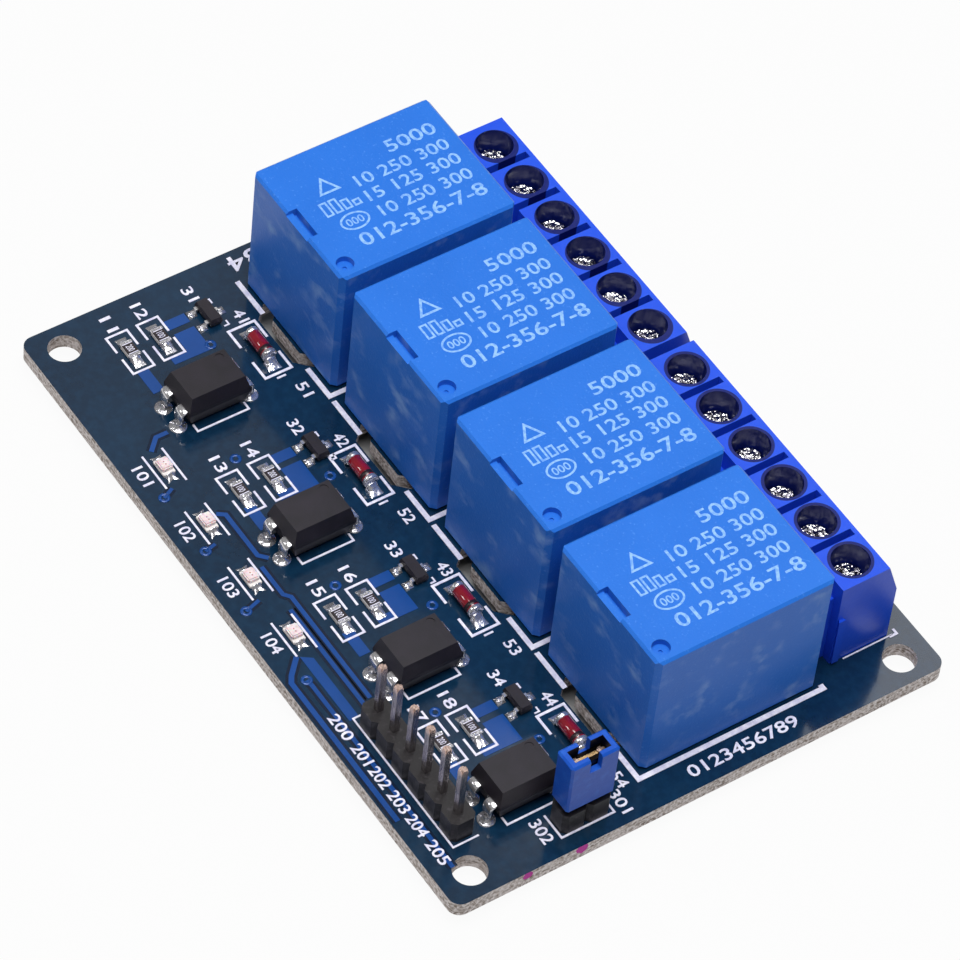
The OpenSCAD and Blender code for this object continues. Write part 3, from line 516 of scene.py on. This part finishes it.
def close_tree(tree, given, shape):
    """Sets the shape on every point, makes the copies real and gives them their finish"""
    spots = add_node(tree, "GeometryNodeInstanceOnPoints", links={
        "Points": given["Points"], "Instance": shape, "Rotation": given["Turn"]})
    real = add_node(tree, "GeometryNodeRealizeInstances", links={0: spots.outputs[0]})
    painted = add_node(tree, "GeometryNodeSetMaterial", links={
        "Geometry": real.outputs[0], "Material": given["Finish"]})
    add_node(tree, "NodeGroupOutput", links={0: painted.outputs[0]})
    return tree


def ring_tree():
    """Geometry tree that sets a flat ring on every point of a mesh"""
    tree, given = point_tree("rings_on_points", ("Outer Diameter", "Hole Diameter", "Height"))
    diameters = given["Outer Diameter"], given["Hole Diameter"]
    circle = add_node(tree, "GeometryNodeCurvePrimitiveCircle", values={"Resolution": 28}, links={
        "Radius": maths(tree, "MULTIPLY", maths(tree, "ADD", *diameters), 0.25)})
    section = add_node(tree, "GeometryNodeCurvePrimitiveQuadrilateral", links={
        "Width": maths(tree, "MULTIPLY", maths(tree, "SUBTRACT", *diameters), 0.5),
        "Height": given["Height"]})
    ring = add_node(tree, "GeometryNodeCurveToMesh", links={
        "Curve": circle.outputs[0], "Profile Curve": section.outputs[0]})
    return close_tree(tree, given, ring.outputs[0])


def grow(name, points, tree, **inputs):
    """Runs a geometry tree on points in millimetres, and keeps its result as a plain mesh"""
    seeds = bpy.data.meshes.new(name)
    seeds.from_pydata([Vector(p) * MM for p in points], [], [])
    piece = bpy.data.objects.new(name, seeds)
    scene.collection.objects.link(piece)
    modifier = piece.modifiers.new("grow", "NODES")
    modifier.node_group = tree
    for socket in tree.interface.items_tree:
        key = socket.name.replace(" ", "_").lower()
        if socket.in_out == "INPUT" and key in inputs:
            modifier[socket.identifier] = inputs[key]
    made = bpy.data.meshes.new_from_object(piece.evaluated_get(
        bpy.context.evaluated_depsgraph_get()))
    piece.modifiers.remove(modifier)
    piece.data = made
    made.name = name
    return piece


rings = ring_tree()
bright_solder = tin_material()
VIA_SPOTS = [(-14.3, -24.3), (-7.2, -24.3), (0.4, -24.75), (9.6, -24.2), (-15, -16.3), (1.9, -16.3),
             (18.25, -16.3), (-27.75, -11.1), (-9.05, -9.9), (8.1, -10), (25.3, -10)]
via_rims = grow("via_rims", [(x, y, TOP + 0.03) for x, y in VIA_SPOTS], rings,
                outer_diameter=1.1 * MM, hole_diameter=0.5 * MM, height=0.07 * MM, finish=copper)
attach(via_rims, "board")

lead_boxes = solids("optocoupler_leads")
opto_y = middle(opto_boxes[0]).y
# each lead enters the board at the far end of its box, in from there by half its thickness
pad_spots = [(middle(box).x, box[1].y - 0.12 if box[0].y > opto_y else box[0].y + 0.12)
             for box in lead_boxes]
lead_pads = grow("lead_pads", [(x, y, z) for x, y in pad_spots for z in (TOP + 0.02, UNDER - 0.02)],
                 rings, outer_diameter=1.7 * MM, hole_diameter=0.7 * MM, height=0.05 * MM,
                 finish=bright_solder)
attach(lead_pads, "board")

# ---- soldered joints -------------------------------------------------------------------
# Wave-soldered cones round every lead on the underside, and small beads where the
# optocouplers' leads enter the board on top. Tin alloy, drawn up the lead as it set.


def bead_tree():
    """Geometry tree that sets a hollow-sided cone on every point of a mesh"""
    tree, given = point_tree("beads_on_points", ("Base Diameter", "Tip Diameter", "Height"))
    drum = add_node(tree, "GeometryNodeMeshCylinder", values={
        "Vertices": 20, "Side Segments": 7, "Radius": 0.5, "Depth": 1})
    spot = axes(tree, add_node(tree, "GeometryNodeInputPosition").outputs[0])
    hollow = maths(tree, "POWER", maths(tree, "SUBTRACT", 0.5, spot["Z"]), 2.4)
    width = add_node(tree, "ShaderNodeMapRange", links={
        "Value": hollow, "To Min": given["Tip Diameter"], "To Max": given["Base Diameter"]})
    x, y = [maths(tree, "MULTIPLY", spot[axis], width.outputs[0]) for axis in ("X", "Y")]
    z = maths(tree, "MULTIPLY", maths(tree, "ADD", spot["Z"], 0.5), given["Height"])
    point = add_node(tree, "ShaderNodeCombineXYZ", links={0: x, 1: y, 2: z})
    bead = add_node(tree, "GeometryNodeSetPosition", links={
        "Geometry": drum.outputs["Mesh"], "Position": point.outputs[0]})
    soft = add_node(tree, "GeometryNodeSetShadeSmooth", links={"Geometry": bead.outputs[0]})
    return close_tree(tree, given, soft.outputs[0])


beads = bead_tree()
joint_boxes = solids("solder_joints")
pad_widths = sorted({round(box[1].x - box[0].x, 1) for box in joint_boxes})
for i, pad_width in enumerate(pad_widths):
    alike = [box for box in joint_boxes if round(box[1].x - box[0].x, 1) == pad_width]
    joints = grow(f"under_joints_{i + 1}",
                  [(middle(box).x, middle(box).y, UNDER) for box in alike], beads,
                  base_diameter=pad_width * MM, tip_diameter=0.42 * pad_width * MM,
                  height=(alike[0][1].z - alike[0][0].z) * MM, turn=(math.pi, 0, 0),
                  finish=bright_solder)
    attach(joints, "board")
    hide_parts("solder_joints")
lead_beads = grow("lead_beads", [(x, y, TOP) for x, y in pad_spots], beads, base_diameter=1.5 * MM,
                  tip_diameter=0.55 * MM, height=0.55 * MM, turn=(0, 0, 0), finish=bright_solder)
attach(lead_beads, "board")

# ---- solder on the pads ----------------------------------------------------------------
# Reflowed solder on the surface pads: it climbs the end of each part and runs out over the
# pad in a hollow ramp with rounded sides.

PAD_FILM = 0.06
PAD_HALF = 0.42


def solder_ramp(mesh, face, end, y, half_width, rise, fork=0.0):
    """Ramp from the part's end face to the pad's end, forked there by this many millimetres"""
    # u runs from the part to the pad's end, and v from one side of the pad to the other. The sides
    # draw in, the slope is hollow, and the solder thins out to the pad along its edges
    rows, columns = 9, 8
    grid = []
    for i in range(rows + 1):
        u = i / rows
        waist = half_width * (1 - 0.22 * math.sin(math.pi * min(1, u * 1.15)) * (1 if fork else 0.3))
        line = []
        for j in range(columns + 1):
            v = 2 * j / columns - 1
            reach = (end - face) - math.copysign(fork * (1 - abs(v)), end - face)
            height = PAD_FILM + rise * (1 - u) ** 2.1 * (1 - 0.3 * v ** 2)
            line.append(mesh.verts.new((face + reach * u, y + waist * v,
                                        TOP + height * (1 - 0.75 * abs(v) ** 7) * (1 - u ** 9))))
        grid.append(line)
    for i in range(rows):
        for j in range(columns):
            mesh.faces.new((grid[i][j], grid[i + 1][j], grid[i + 1][j + 1], grid[i][j + 1]))
    rim = ([grid[i][0] for i in range(rows + 1)] + grid[rows][1:]
           + [grid[i][columns] for i in range(rows - 1, -1, -1)] + grid[0][columns - 1:0:-1])
    foot = [mesh.verts.new((v.co.x, v.co.y, TOP)) for v in rim]
    for i, vertex in enumerate(rim):
        j = (i + 1) % len(rim)
        mesh.faces.new((vertex, foot[i], foot[j], rim[j]))
    mesh.faces.new(foot)


mesh = bmesh.new()
for name, reach, rise, fork in (("resistors", 1.02, 0.46, 0), ("leds", 0.75, 0.42, 0.3),
                                ("diodes", 1.05, 0.75, 0)):
    for low, high in solids(name):
        y, half = (low.y + high.y) / 2, (high.y - low.y) / 2
        solder_ramp(mesh, high.x - 0.05, high.x + reach, y, half * 0.92, rise, fork)
        solder_ramp(mesh, low.x + 0.05, low.x - reach * 0.8, y, half * 0.92, rise, fork * 0.4)
for low, high in solids("transistor_leads"):
    y, outer = ((low.y, -1) if low.y < middle(transistor_boxes[0]).y else (high.y, 1))
    x = (low.x + high.x) / 2
    prism(mesh, square(x, y, PAD_HALF), TOP, TOP + PAD_FILM + 0.02)
    for side in (-1, 1):
        solder_ramp(mesh, x + 0.1 * side, x + 0.36 * side, y + 0.02 * outer, 0.3, 0.16)
pad_solder = place_piece("pad_solder", mesh, [bright_solder], smooth=True)
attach(pad_solder, "board")
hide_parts("smd_solder")

# ---- chip resistors --------------------------------------------------------------------
# White alumina chips with a black glaze on top, a number printed on it, and tinned caps
# wrapped round both ends.


def soft_block(mesh, low, high, radius, index=0):
    """Box with rounded edges"""
    before = set(mesh.faces)
    made = bmesh.ops.create_cube(mesh, size=1)["verts"]
    for vertex in made:
        vertex.co = Vector((low[i] + (vertex.co[i] + 0.5) * (high[i] - low[i]) for i in range(3)))
    edges = list(dict.fromkeys(edge for vertex in made for edge in vertex.link_edges))
    bmesh.ops.bevel(mesh, geom=edges, offset=radius, segments=2, affect="EDGES")
    for face in set(mesh.faces) - before:
        face.material_index = index


CAP_LENGTH = 0.38
alumina = mottled("white_alumina", 0.3, "#d9d3d0", "#f2eeea", Roughness=0.6)
glaze = mottled("black_overglaze", 0.4, "#1d171b", "#332a30", relief=(0.3, 2.0, 0.02),
                Roughness=0.28, Coat_Weight=0.3)
mesh = bmesh.new()
for low, high in solids("resistors"):
    soft_block(mesh, (low.x + 0.05, low.y + 0.03, low.z + 0.02),
               (high.x - 0.05, high.y - 0.03, high.z - 0.06), 0.03, 0)
    soft_block(mesh, (low.x + CAP_LENGTH - 0.06, low.y + 0.05, high.z - 0.12),
               (high.x - CAP_LENGTH + 0.06, high.y - 0.05, high.z - 0.005), 0.04, 1)
    for x in (low.x, high.x - CAP_LENGTH):
        soft_block(mesh, (x, low.y, low.z), (x + CAP_LENGTH, high.y, high.z), 0.07, 2)
resistor_chips = place_piece("resistor_chips", mesh, [alumina, glaze, bright_solder])
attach(resistor_chips, "board")
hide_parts("resistors")

mesh = bmesh.new()
for i, (low, high) in enumerate(solids("resistors")):
    centre = (low + high) / 2
    figures(mesh, "100" if i % 3 else "200", (centre.x - 0.36, centre.y - 0.33),
            (centre.x + 0.36, centre.y + 0.33), high.z - 0.02, thickness=0.025, bold=0)
    for side in (-1, 1):
        x = centre.x + side * 0.6
        stroke(mesh, [(x, low.y + 0.12), (x, high.y - 0.12)], 0.09, high.z - 0.02, high.z + 0.005)
resistor_print = place_piece("resistor_print", mesh, [legend_ink])
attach(resistor_print, "board")

# ---- indicator lamps -------------------------------------------------------------------
# Surface-mounted lamps: a cloudy resin block cast over two small chips on a white carrier.

DIE_RADIUS = 0.065
# light goes a little way into the faintly pink resin, so its edges look soft
lens = mottled("cloudy_cast_resin", 0.35, "#dcc5c8", "#f0e3e3", 3, (0.4, 2.0, 0.05),
               ((0.35, 0), (0.7, 1)), Roughness=0.22, Subsurface_Weight=0.35, Subsurface_Scale=0.0004)
mesh = bmesh.new()
for low, high in solids("leds"):
    soft_block(mesh, (low.x + 0.02, low.y, low.z), (high.x - 0.02, high.y, low.z + 0.32), 0.05, 0)
    soft_block(mesh, (low.x + 0.28, low.y + 0.02, low.z + 0.3), (high.x - 0.34, high.y - 0.02, high.z),
               0.12, 1)
    centre = (low + high) / 2
    for x in (-0.12, 0.2):
        spot = [(centre.x + x + DIE_RADIUS * math.cos(a * math.pi / 4), centre.y + 0.1 * x
                 + DIE_RADIUS * math.sin(a * math.pi / 4)) for a in range(8)]
        prism(mesh, spot, high.z - 0.05, high.z + 0.008, 2)
lamp_die = mottled("red_lamp_die", 0.1, "#7e1626", "#b02a3c", Roughness=0.4)
lamp_blocks = place_piece("lamp_blocks", mesh, [alumina, lens, lamp_die])
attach(lamp_blocks, "board")
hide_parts("leds")

# ---- glass diodes ----------------------------------------------------------------------
# Each diode is a drawn tube of red glass fused between two tinned plugs, with a dark ring
# near its cathode end.


def turned(mesh, centre, profile, index=0, sides=24):
    """Body turned about a line along X through centre, from (distance, radius) pairs"""
    hoops = []
    for x, radius in profile:
        hoops.append([mesh.verts.new((centre.x + x,
                                      centre.y + radius * math.cos(2 * math.pi * k / sides),
                                      centre.z + radius * math.sin(2 * math.pi * k / sides)))
                      for k in range(sides)])
    faces = [mesh.faces.new(hoops[0][::-1]), mesh.faces.new(hoops[-1])]
    for first, second in zip(hoops, hoops[1:]):
        for k in range(sides):
            m = (k + 1) % sides
            faces.append(mesh.faces.new((first[k], first[m], second[m], second[k])))
    for face in faces:
        face.material_index = index


# Distance from a plug's outer end, and share of the full radius
PLUG = ((0, 0.8), (0.06, 0.97), (0.12, 1), (0.42, 1), (0.5, 0.94))
mesh = bmesh.new()
for low, high in solids("diodes"):
    centre, half, radius = (low + high) / 2, (high.x - low.x) / 2, (high.z - low.z) / 2
    glass = radius * 0.93
    turned(mesh, centre, [(-half + 0.4, glass * 0.9), (-half + 0.55, glass), (half - 0.55, glass),
                          (half - 0.4, glass * 0.9)], 0)
    turned(mesh, centre, [(-half + x, radius * share) for x, share in PLUG], 1)
    turned(mesh, centre, [(half - x, radius * share) for x, share in PLUG[::-1]], 1)
    turned(mesh, centre, [(half - 1.05, glass * 1.005), (half - 1.04, glass + 0.012),
                          (half - 0.62, glass + 0.012), (half - 0.61, glass * 1.005)], 2)
# tinted glass shows a sharp, bright line of light along its top
red_glass = mottled("red_drawn_glass", 0.7, "#76091c", "#a3142c", Roughness=0.1, IOR=1.52,
                    Transmission_Weight=0.25, Coat_Weight=1, Coat_Roughness=0.04)
dark_ring = mottled("black_cathode_ring", 0.3, "#160b10", "#2c1a20", Roughness=0.35)
diode_tubes = place_piece("diode_tubes", mesh, [red_glass, bright_solder, dark_ring], smooth=True)
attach(diode_tubes, "board")
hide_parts("diodes")

# ---- transistors and optocouplers ------------------------------------------------------
# Black epoxy bodies, transfer-moulded round tinned copper leads, with a fine satin grain
# from the mould.


def rolled_metal(name, lines, first, second, **values):
    """Metal strip with fine rolling lines, given as a grain's size, detail and stretch"""
    material, tree, shader, place = new_material(name, **values)
    marks = grain(tree, place, *lines)
    paint(tree, shader, marks, first, second)
    bump(tree, shader, marks, 0.01)
    return material


# nearly black, brownish and matt, with a low sheen at shallow angles
epoxy = mottled("moulded_black_epoxy", 1.6, "#151118", "#201a24", 4, (0.16, 3, 0.012),
                ((0.3, 0), (0.75, 1)), Roughness=0.5, IOR=1.5)
repaint(epoxy, "optocouplers", "transistors")
tinned = rolled_metal("tinned_copper_lead", (0.12, 2, (1, 1, 8)), "#e2dfe2", "#fbfafc",
                      Metallic=0.86, Roughness=0.2)
repaint(tinned, "transistor_leads", "terminal_bars")


def formed_lead(mesh, x, face_y, out, shoulder_z, reach):
    """Strip that leaves the body level, turns down round a radius, and narrows above its hole"""
    thick, bend, wide, narrow, chamfer, tail = 0.25, 0.5, 0.62, 0.27, 0.06, 1.4
    turn_u = reach - thick / 2 - bend
    # each station is a distance out, a height, a lean, and a share of the full width
    stations = [(-0.35, 0, 0, 1), (turn_u, 0, 0, 1)]
    stations += [(turn_u + bend * math.sin(a), -bend * (1 - math.cos(a)), a, 1)
                 for a in (math.pi / 2 * k / 7 for k in range(1, 8))]
    drop = shoulder_z - UNDER + tail
    stations += [(reach - thick / 2, -d, math.pi / 2, w) for d, w in (
        (1.15, 1), (1.3, 0.85), (1.45, 0.45), (1.6, 0), (drop, 0))]
    sections = []
    for u, z, lean, share in stations:
        half = narrow + (wide - narrow) * share
        ring = []
        for across, off in ((half - chamfer, 1), (half, 0.5), (half, -0.5), (half - chamfer, -1)):
            ring.append((across, off * thick / 2))
        ring += [(-across, off) for across, off in ring[::-1]]
        sections.append([mesh.verts.new((
            x + across, face_y + out * (u + off * math.sin(lean)), shoulder_z + z + off * math.cos(lean)))
            for across, off in ring])
    mesh.faces.new(sections[0])
    mesh.faces.new(sections[-1][::-1])
    for first, second in zip(sections, sections[1:]):
        for k in range(8):
            m = (k + 1) % 8
            mesh.faces.new((first[k], second[k], second[m], first[m]))


mesh = bmesh.new()
for low, high in lead_boxes:
    out = 1 if low.y > opto_y else -1
    face_y = low.y if out > 0 else high.y
    formed_lead(mesh, (low.x + high.x) / 2, face_y, out, high.z - 0.125, high.y - low.y)
formed_leads = place_piece("formed_leads", mesh, [tinned], smooth=True)
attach(formed_leads, "board")
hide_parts("optocoupler_leads")

# ---- headers and jumper ----------------------------------------------------------------
# Square brass pins, plated and sheared to a point, pressed through strips of black nylon.
# A blue push-on cap with a sprung gilt clip joins the two supply pins.


def pin_material():
    """Plated brass: greyish bright sides, and a warm pink end where the shear cut the plate"""
    material, tree, shader, place = new_material("plated_square_pin", Metallic=1, Roughness=0.26)
    tip_z = box_mm("header_pins")[1].z * MM
    tip = remap(tree, axes(tree, place)["Z"], start=tip_z - 0.9 * MM, end=tip_z - 0.25 * MM)
    streaks = grain(tree, place, 0.2, 3, stretch=(1, 1, 6))
    sides = blend_colours(tree, steps(tree, streaks, (0.3, 0), (0.7, 1)), "#8d858a", "#c6bfc0")
    paint(tree, shader, tip, sides, "#dcc0b4")
    bump(tree, shader, streaks, 0.012)
    return material


def within(tree, place, centre, half_x, half_y):
    """1 inside an upright shaft round this centre, in millimetres, and 0 outside it"""
    spot, inside = axes(tree, place), []
    for axis, mid, half in (("X", centre.x, half_x), ("Y", centre.y, half_y)):
        off = maths(tree, "SUBTRACT", spot[axis], mid * MM)
        inside.append(maths(tree, "LESS_THAN", maths(tree, "ABSOLUTE", off), half * MM))
    return maths(tree, "MULTIPLY", *inside)


# Half width and half depth of the painted shade in the cap's hollow, and of the painted highlight along
# the clip's crest
HOLLOW_SHADE_HALF = (0.67, 1.86)
LIT_CREST_HALF = (0.17, 9)


def cap_material():
    """Moulded polypropylene: clear mid blue with a silky, slightly worn surface, and painted shade,
    nearly black, inside its hollow
    """
    material, tree, shader, place = new_material(
        "blue_cap_plastic", Roughness=0.34, IOR=1.45, Specular_IOR_Level=0.3)
    worn = steps(tree, grain(tree, place, 0.9, 4), (0.5, 0), (0.8, 0.5))
    skin = blend_colours(tree, worn, "#1650b8", "#2f6fd4")
    shaded_hollow = within(tree, place, middle(box_mm("jumper_cap")), *HOLLOW_SHADE_HALF)
    # the hollow inside the cap is painted nearly black navy as shade
    paint(tree, shader, shaded_hollow, skin, "#050d24")
    bump(tree, shader, grain(tree, place, 0.35, 3), 0.015)
    return material


def gilt_material():
    """Flash-gilt spring bronze: a painted highlight of warm gilt along its crest, and painted shade, a
    dark brown, where it turns away
    """
    material, tree, shader, place = new_material("gilt_spring_bronze", Metallic=0.9, Roughness=0.24)
    streaks = grain(tree, place, 0.15, 3, stretch=(1, 5, 1))
    gilt = blend_colours(tree, streaks, "#c79a62", "#f0d0a0")
    lit_crest = within(tree, place, middle(box_mm("jumper_clip")), *LIT_CREST_HALF)
    # only the crest shows the gilt, as a painted highlight; the rest of the clip is painted dark brown as
    # shade
    paint(tree, shader, lit_crest, "#150f0d", gilt)
    bump(tree, shader, streaks, 0.01)
    return material


# charcoal, with a waxy sheen and small scuffs
nylon = mottled("moulded_black_nylon", 0.5, "#1a1719", "#4a454a", 5, (0.25, 3, 0.02),
                ((0.58, 0), (0.72, 0.5)), Roughness=0.42, IOR=1.5)
repaint(nylon, "header_strip", "jumper_strip")
repaint(pin_material(), "header_pins", "jumper_pins")
repaint(cap_material(), "jumper_cap")
repaint(gilt_material(), "jumper_clip")

# ---- relays ----------------------------------------------------------------------------
# Sealed cube relays. The covers are injection-moulded in blue polyester and printed in pale
# blue; inside, a wound iron core pulls a flap that carries the moving contact.


def cover_material():
    """Glass-filled polyester: satin blue, with a fine spark-eroded grain and pale handling scuffs"""
    material, tree, shader, place = new_material(
        "satin_blue_polyester", Roughness=0.42, IOR=1.45, Specular_IOR_Level=0.3)
    specks = steps(tree, grain(tree, place, 0.28, 2), (0.62, 0), (0.76, 0.35))
    blue = blend_colours(tree, grain(tree, place, 6, 3), "#2169ca", "#2873d8")
    spotted = blend_colours(tree, specks, blue, "#5f9bea")
    smears = grain(tree, place, 1.8, 5, stretch=(1.4, 1, 0.9))
    patches = grain(tree, place, 4.5, 2)
    upright = maths(tree, "LESS_THAN", upward(tree), 0.5)
    streaks = maths(tree, "MULTIPLY", steps(tree, smears, (0.48, 0), (0.7, 0.9)),
                    steps(tree, patches, (0.46, 0), (0.6, 0.7)))
    rubbed = maths(tree, "MULTIPLY", streaks, upright)
    paint(tree, shader, rubbed, spotted, "#8fb4e8")
    tree.links.new(remap(tree, rubbed, 0.38, 0.55), shader.inputs["Roughness"])
    bump(tree, shader, grain(tree, place, 0.26, 3), 0.03, 0.8)
    return material


def winding_material():
    """Enamelled copper wire over zinc-plated iron; wire of 0.1 mm is drawn four times as coarse"""
    material, tree, shader, place = new_material("wound_wire_on_plated_iron", Metallic=1, Roughness=0.3)
    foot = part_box("relay_coil_1")[0].z
    height = axes(tree, place)["Z"]
    turns = maths(tree, "SINE", maths(tree, "MULTIPLY", height, 2 * math.pi / (0.4 * MM)))
    wound = remap(tree, height, start=foot + 2 * MM, end=foot + 2.1 * MM)
    paint(tree, shader, wound, "#b9bcc2", "#b8622c")
    bump(tree, shader, turns, 0.05)
    return material


PRINT = 0.004
# Each row: its figures, and its extent along X and along Y from the middle of the roof
PRINT_ROWS = (("5000", -4.9, -3.4, 8.0, 13.3), ("10 250 300", -2.6, -1.2, 3.3, 13.3),
              ("15 125 300", -0.6, 0.8, 3.2, 13.3), ("10 250 300", 1.5, 2.9, 3.3, 13.2),
              ("012-356-7-8", 3.6, 5.2, -0.2, 13.3))


def relay_print(mesh, x, top):
    """Rows of plain numbers, and a triangle, four open bars and an oval, on one relay's roof"""
    for body, x0, x1, y0, y1 in PRINT_ROWS:
        figures(mesh, body, (x + x0, y0), (x + x1, y1), top, 90, PRINT)
    stroke(mesh, [(x - 2.05, -0.35), (x - 3.75, 0.62), (x - 2.05, 1.6)], 0.24, top, top + PRINT,
           closed=True)
    for start, end, y in ((-1.1, 0.5, -1.2), (-1.1, 0.5, -0.2), (-0.6, 0.5, 0.8), (-0.1, 0.5, 1.8)):
        stroke(mesh, [(x + start, y), (x + end, y), (x + end, y + 0.62), (x + start, y + 0.62)],
               0.2, top, top + PRINT, closed=True)
    oval = [(x + 2.05 + 0.95 * math.cos(a * math.pi / 16), 0.7 + 1.4 * math.sin(a * math.pi / 16))
            for a in range(32)]
    stroke(mesh, oval, 0.2, top, top + PRINT, closed=True)
    figures(mesh, "000", (x + 1.6, -0.2), (x + 2.5, 1.6), top, 90, PRINT)


repaint(cover_material(), *numbered("relay_cover", 4))
# the print is thin, and a little broken where the pad lifted
pad_print = mottled("pale_blue_pad_print", 0.3, "#4285e2", "#8fbbf2", 4,
                    stops=((0.34, 0.35), (0.6, 1)), Roughness=0.5)
for i, cover in enumerate(numbered("relay_cover", 4)):
    low, high = box_mm(cover)
    mesh = bmesh.new()
    relay_print(mesh, (low.x + high.x) / 2, high.z)
    relay_figures = place_piece(f"relay_print_{i + 1}", mesh, [pad_print])
    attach(relay_figures, "board")
black_base = mottled("black_base_polyester", 0.8, "#141417", "#222226", 3, (0.3, 2.0, 0.02),
                     Roughness=0.5)
repaint(black_base, *numbered("relay_base", 4))
repaint(winding_material(), *numbered("relay_coil", 4))
brass = rolled_metal("rolled_spring_brass", (0.15, 3, (1, 6, 1)), "#b79a5a", "#dcc48a",
                     Metallic=1, Roughness=0.3)
repaint(brass, "relay_terminals", *numbered("relay_armature", 4))

# ---- screw terminals -------------------------------------------------------------------
# Two six-way housings moulded in deep blue nylon. Each well holds a nickel-plated screw that
# raises a steel cage and presses the wire against a tinned bar.

# Radius of the round of painted shade that each well makes
WELL_SHADE_REACH = 2.1


def housing_material():
    """Glass-filled nylon: strong violet blue, slightly glossy, with painted shade inside its wells"""
    material, tree, shader, place = new_material(
        "glossy_blue_nylon", Roughness=0.3, IOR=1.45, Specular_IOR_Level=0.3)
    blue = blend_colours(tree, grain(tree, place, 3, 3), "#1a49cf", "#2356e0")
    # the two housings mirror each other, so one distance from their joint serves both
    first, second = box_mm("terminal_screw_7"), box_mm("terminal_screw_8")
    joint_x = (middle(box_mm("terminal_block_1")).x + middle(box_mm("terminal_block_2")).x) / 2
    well, pitch = middle(first), middle(second).x - middle(first).x
    spot = axes(tree, place)
    out = maths(tree, "ABSOLUTE", maths(tree, "SUBTRACT", spot["X"], joint_x * MM))
    start = maths(tree, "SUBTRACT", out, (well.x - joint_x) * MM)
    across = add_node(tree, "ShaderNodeMath", {"operation": "WRAP"},
                      {1: pitch / 2 * MM, 2: -pitch / 2 * MM}, {0: start})
    along = maths(tree, "SUBTRACT", spot["Y"], well.y * MM)
    arm = add_node(tree, "ShaderNodeCombineXYZ", links={0: across.outputs[0], 1: along})
    radius = add_node(tree, "ShaderNodeVectorMath", {"operation": "LENGTH"}, links={0: arm.outputs[0]})
    inside = maths(tree, "LESS_THAN", radius.outputs["Value"], WELL_SHADE_REACH * MM)
    # inside each well the blue is painted dark navy as shade
    paint(tree, shader, inside, blue, "#0a1a66")
    bump(tree, shader, grain(tree, place, 0.4, 3), 0.015)
    return material


def nickel_material():
    """Bright nickel over steel: mirror-like, with tool marks that break up its highlights"""
    material, tree, shader, place = new_material("bright_nickel_plate", Metallic=1, Roughness=0.14)
    marks = grain(tree, place, 0.55, 2)
    paint(tree, shader, steps(tree, marks, (0.35, 0), (0.65, 1)), "#a8a5b0", "#ffffff")
    bump(tree, shader, marks, 0.45)
    return material


repaint(housing_material(), *numbered("terminal_block", 2))
repaint(nickel_material(), *numbered("terminal_screw", 12), *numbered("terminal_clamp", 12))

# ---- studio ----------------------------------------------------------------------------
# A pale table under one broad lamp overhead. A small lamp puts sharp glints on metal, and two
# weak ones at the back and left lay a faint sheen on the lacquer.

# Half width and half depth of the shaded paper under the board
UNDER_BOARD = (31, 20.5)


def floor_material():
    """Matt white paper, which the camera sees as nearly white, with the shadow kept faint"""
    material, tree, shader, place = new_material("white_paper", Roughness=0.9)
    shader.inputs["Base Color"].default_value = linear("#b4b4b4")
    light = add_node(tree, "ShaderNodeEmission", values={"Color": (1, 1, 1, 1), "Strength": 1})
    path = add_node(tree, "ShaderNodeLightPath").outputs
    seen = maths(tree, "ADD", path["Is Camera Ray"], path["Is Glossy Ray"])
    seen = maths(tree, "MINIMUM", maths(tree, "ADD", seen, path["Is Transmission Ray"]), 1)
    # in the dark under the board the paper adds nothing
    clear = maths(tree, "SUBTRACT", 1, within(tree, place, Vector((0, 0)), *UNDER_BOARD))
    share = maths(tree, "MULTIPLY", maths(tree, "MULTIPLY", seen, clear), 0.95)
    mix = add_node(tree, "ShaderNodeMixShader", links={
        0: share, 1: shader.outputs[0], 2: light.outputs[0]})
    tree.links.new(mix.outputs[0], tree.nodes["Material Output"].inputs["Surface"])
    return material


FLOOR_HALF = 900
mesh = bmesh.new()
prism(mesh, square(0, 0, FLOOR_HALF), -1, 0)
floor = place_piece("floor", mesh, [floor_material()])

world = bpy.data.worlds.new("studio")
scene.world = world
world.use_nodes = True
backdrop = world.node_tree.nodes["Background"].inputs
backdrop["Color"].default_value = (1, 1, 1, 1)
backdrop["Strength"].default_value = 0.16


def add_lamp(name, place, size, power, aim=(0, 0, 0.008)):
    """Square softbox, in metres and watts, turned to the object"""
    light = bpy.data.lights.new(name, "AREA")
    light.shape, light.size, light.energy = "SQUARE", size, power
    lamp = bpy.data.objects.new(name, light)
    lamp.location = place
    lamp.rotation_euler = (Vector(aim) - Vector(place)).to_track_quat("-Z", "Y").to_euler()
    scene.collection.objects.link(lamp)


add_lamp("overhead_softbox", (0.07, -0.04, 0.62), 0.42, 4.5)
add_lamp("small_softbox", (-0.3, -0.42, 0.4), 0.1, 0.3)
add_lamp("left_softbox", (-0.56, 0.28, 0.6), 0.24, 0.05)
add_lamp("back_softbox", (-0.32, 0.45, 0.6), 0.24, 0.4)

# The camera looks down on the board's front right corner, turned a little about its own axis
CAMERA_AT = Vector((0.25485, -0.20437, 0.39955))
CAMERA_AIM = Vector((-0.001877, 0.001689, 0.0032))
CAMERA_TURN = math.radians(6.935)
camera_data = bpy.data.cameras.new("camera")
camera_data.lens = 212.7
camera_data.clip_start = 0.01
camera = bpy.data.objects.new("camera", camera_data)
look = (CAMERA_AIM - CAMERA_AT).to_track_quat("-Z", "Y").to_matrix().to_4x4()
camera.matrix_world = Matrix.Translation(CAMERA_AT) @ look @ Matrix.Rotation(CAMERA_TURN, 4, "Z")
scene.collection.objects.link(camera)
scene.camera = camera
scene.view_settings.view_transform = "Standard"
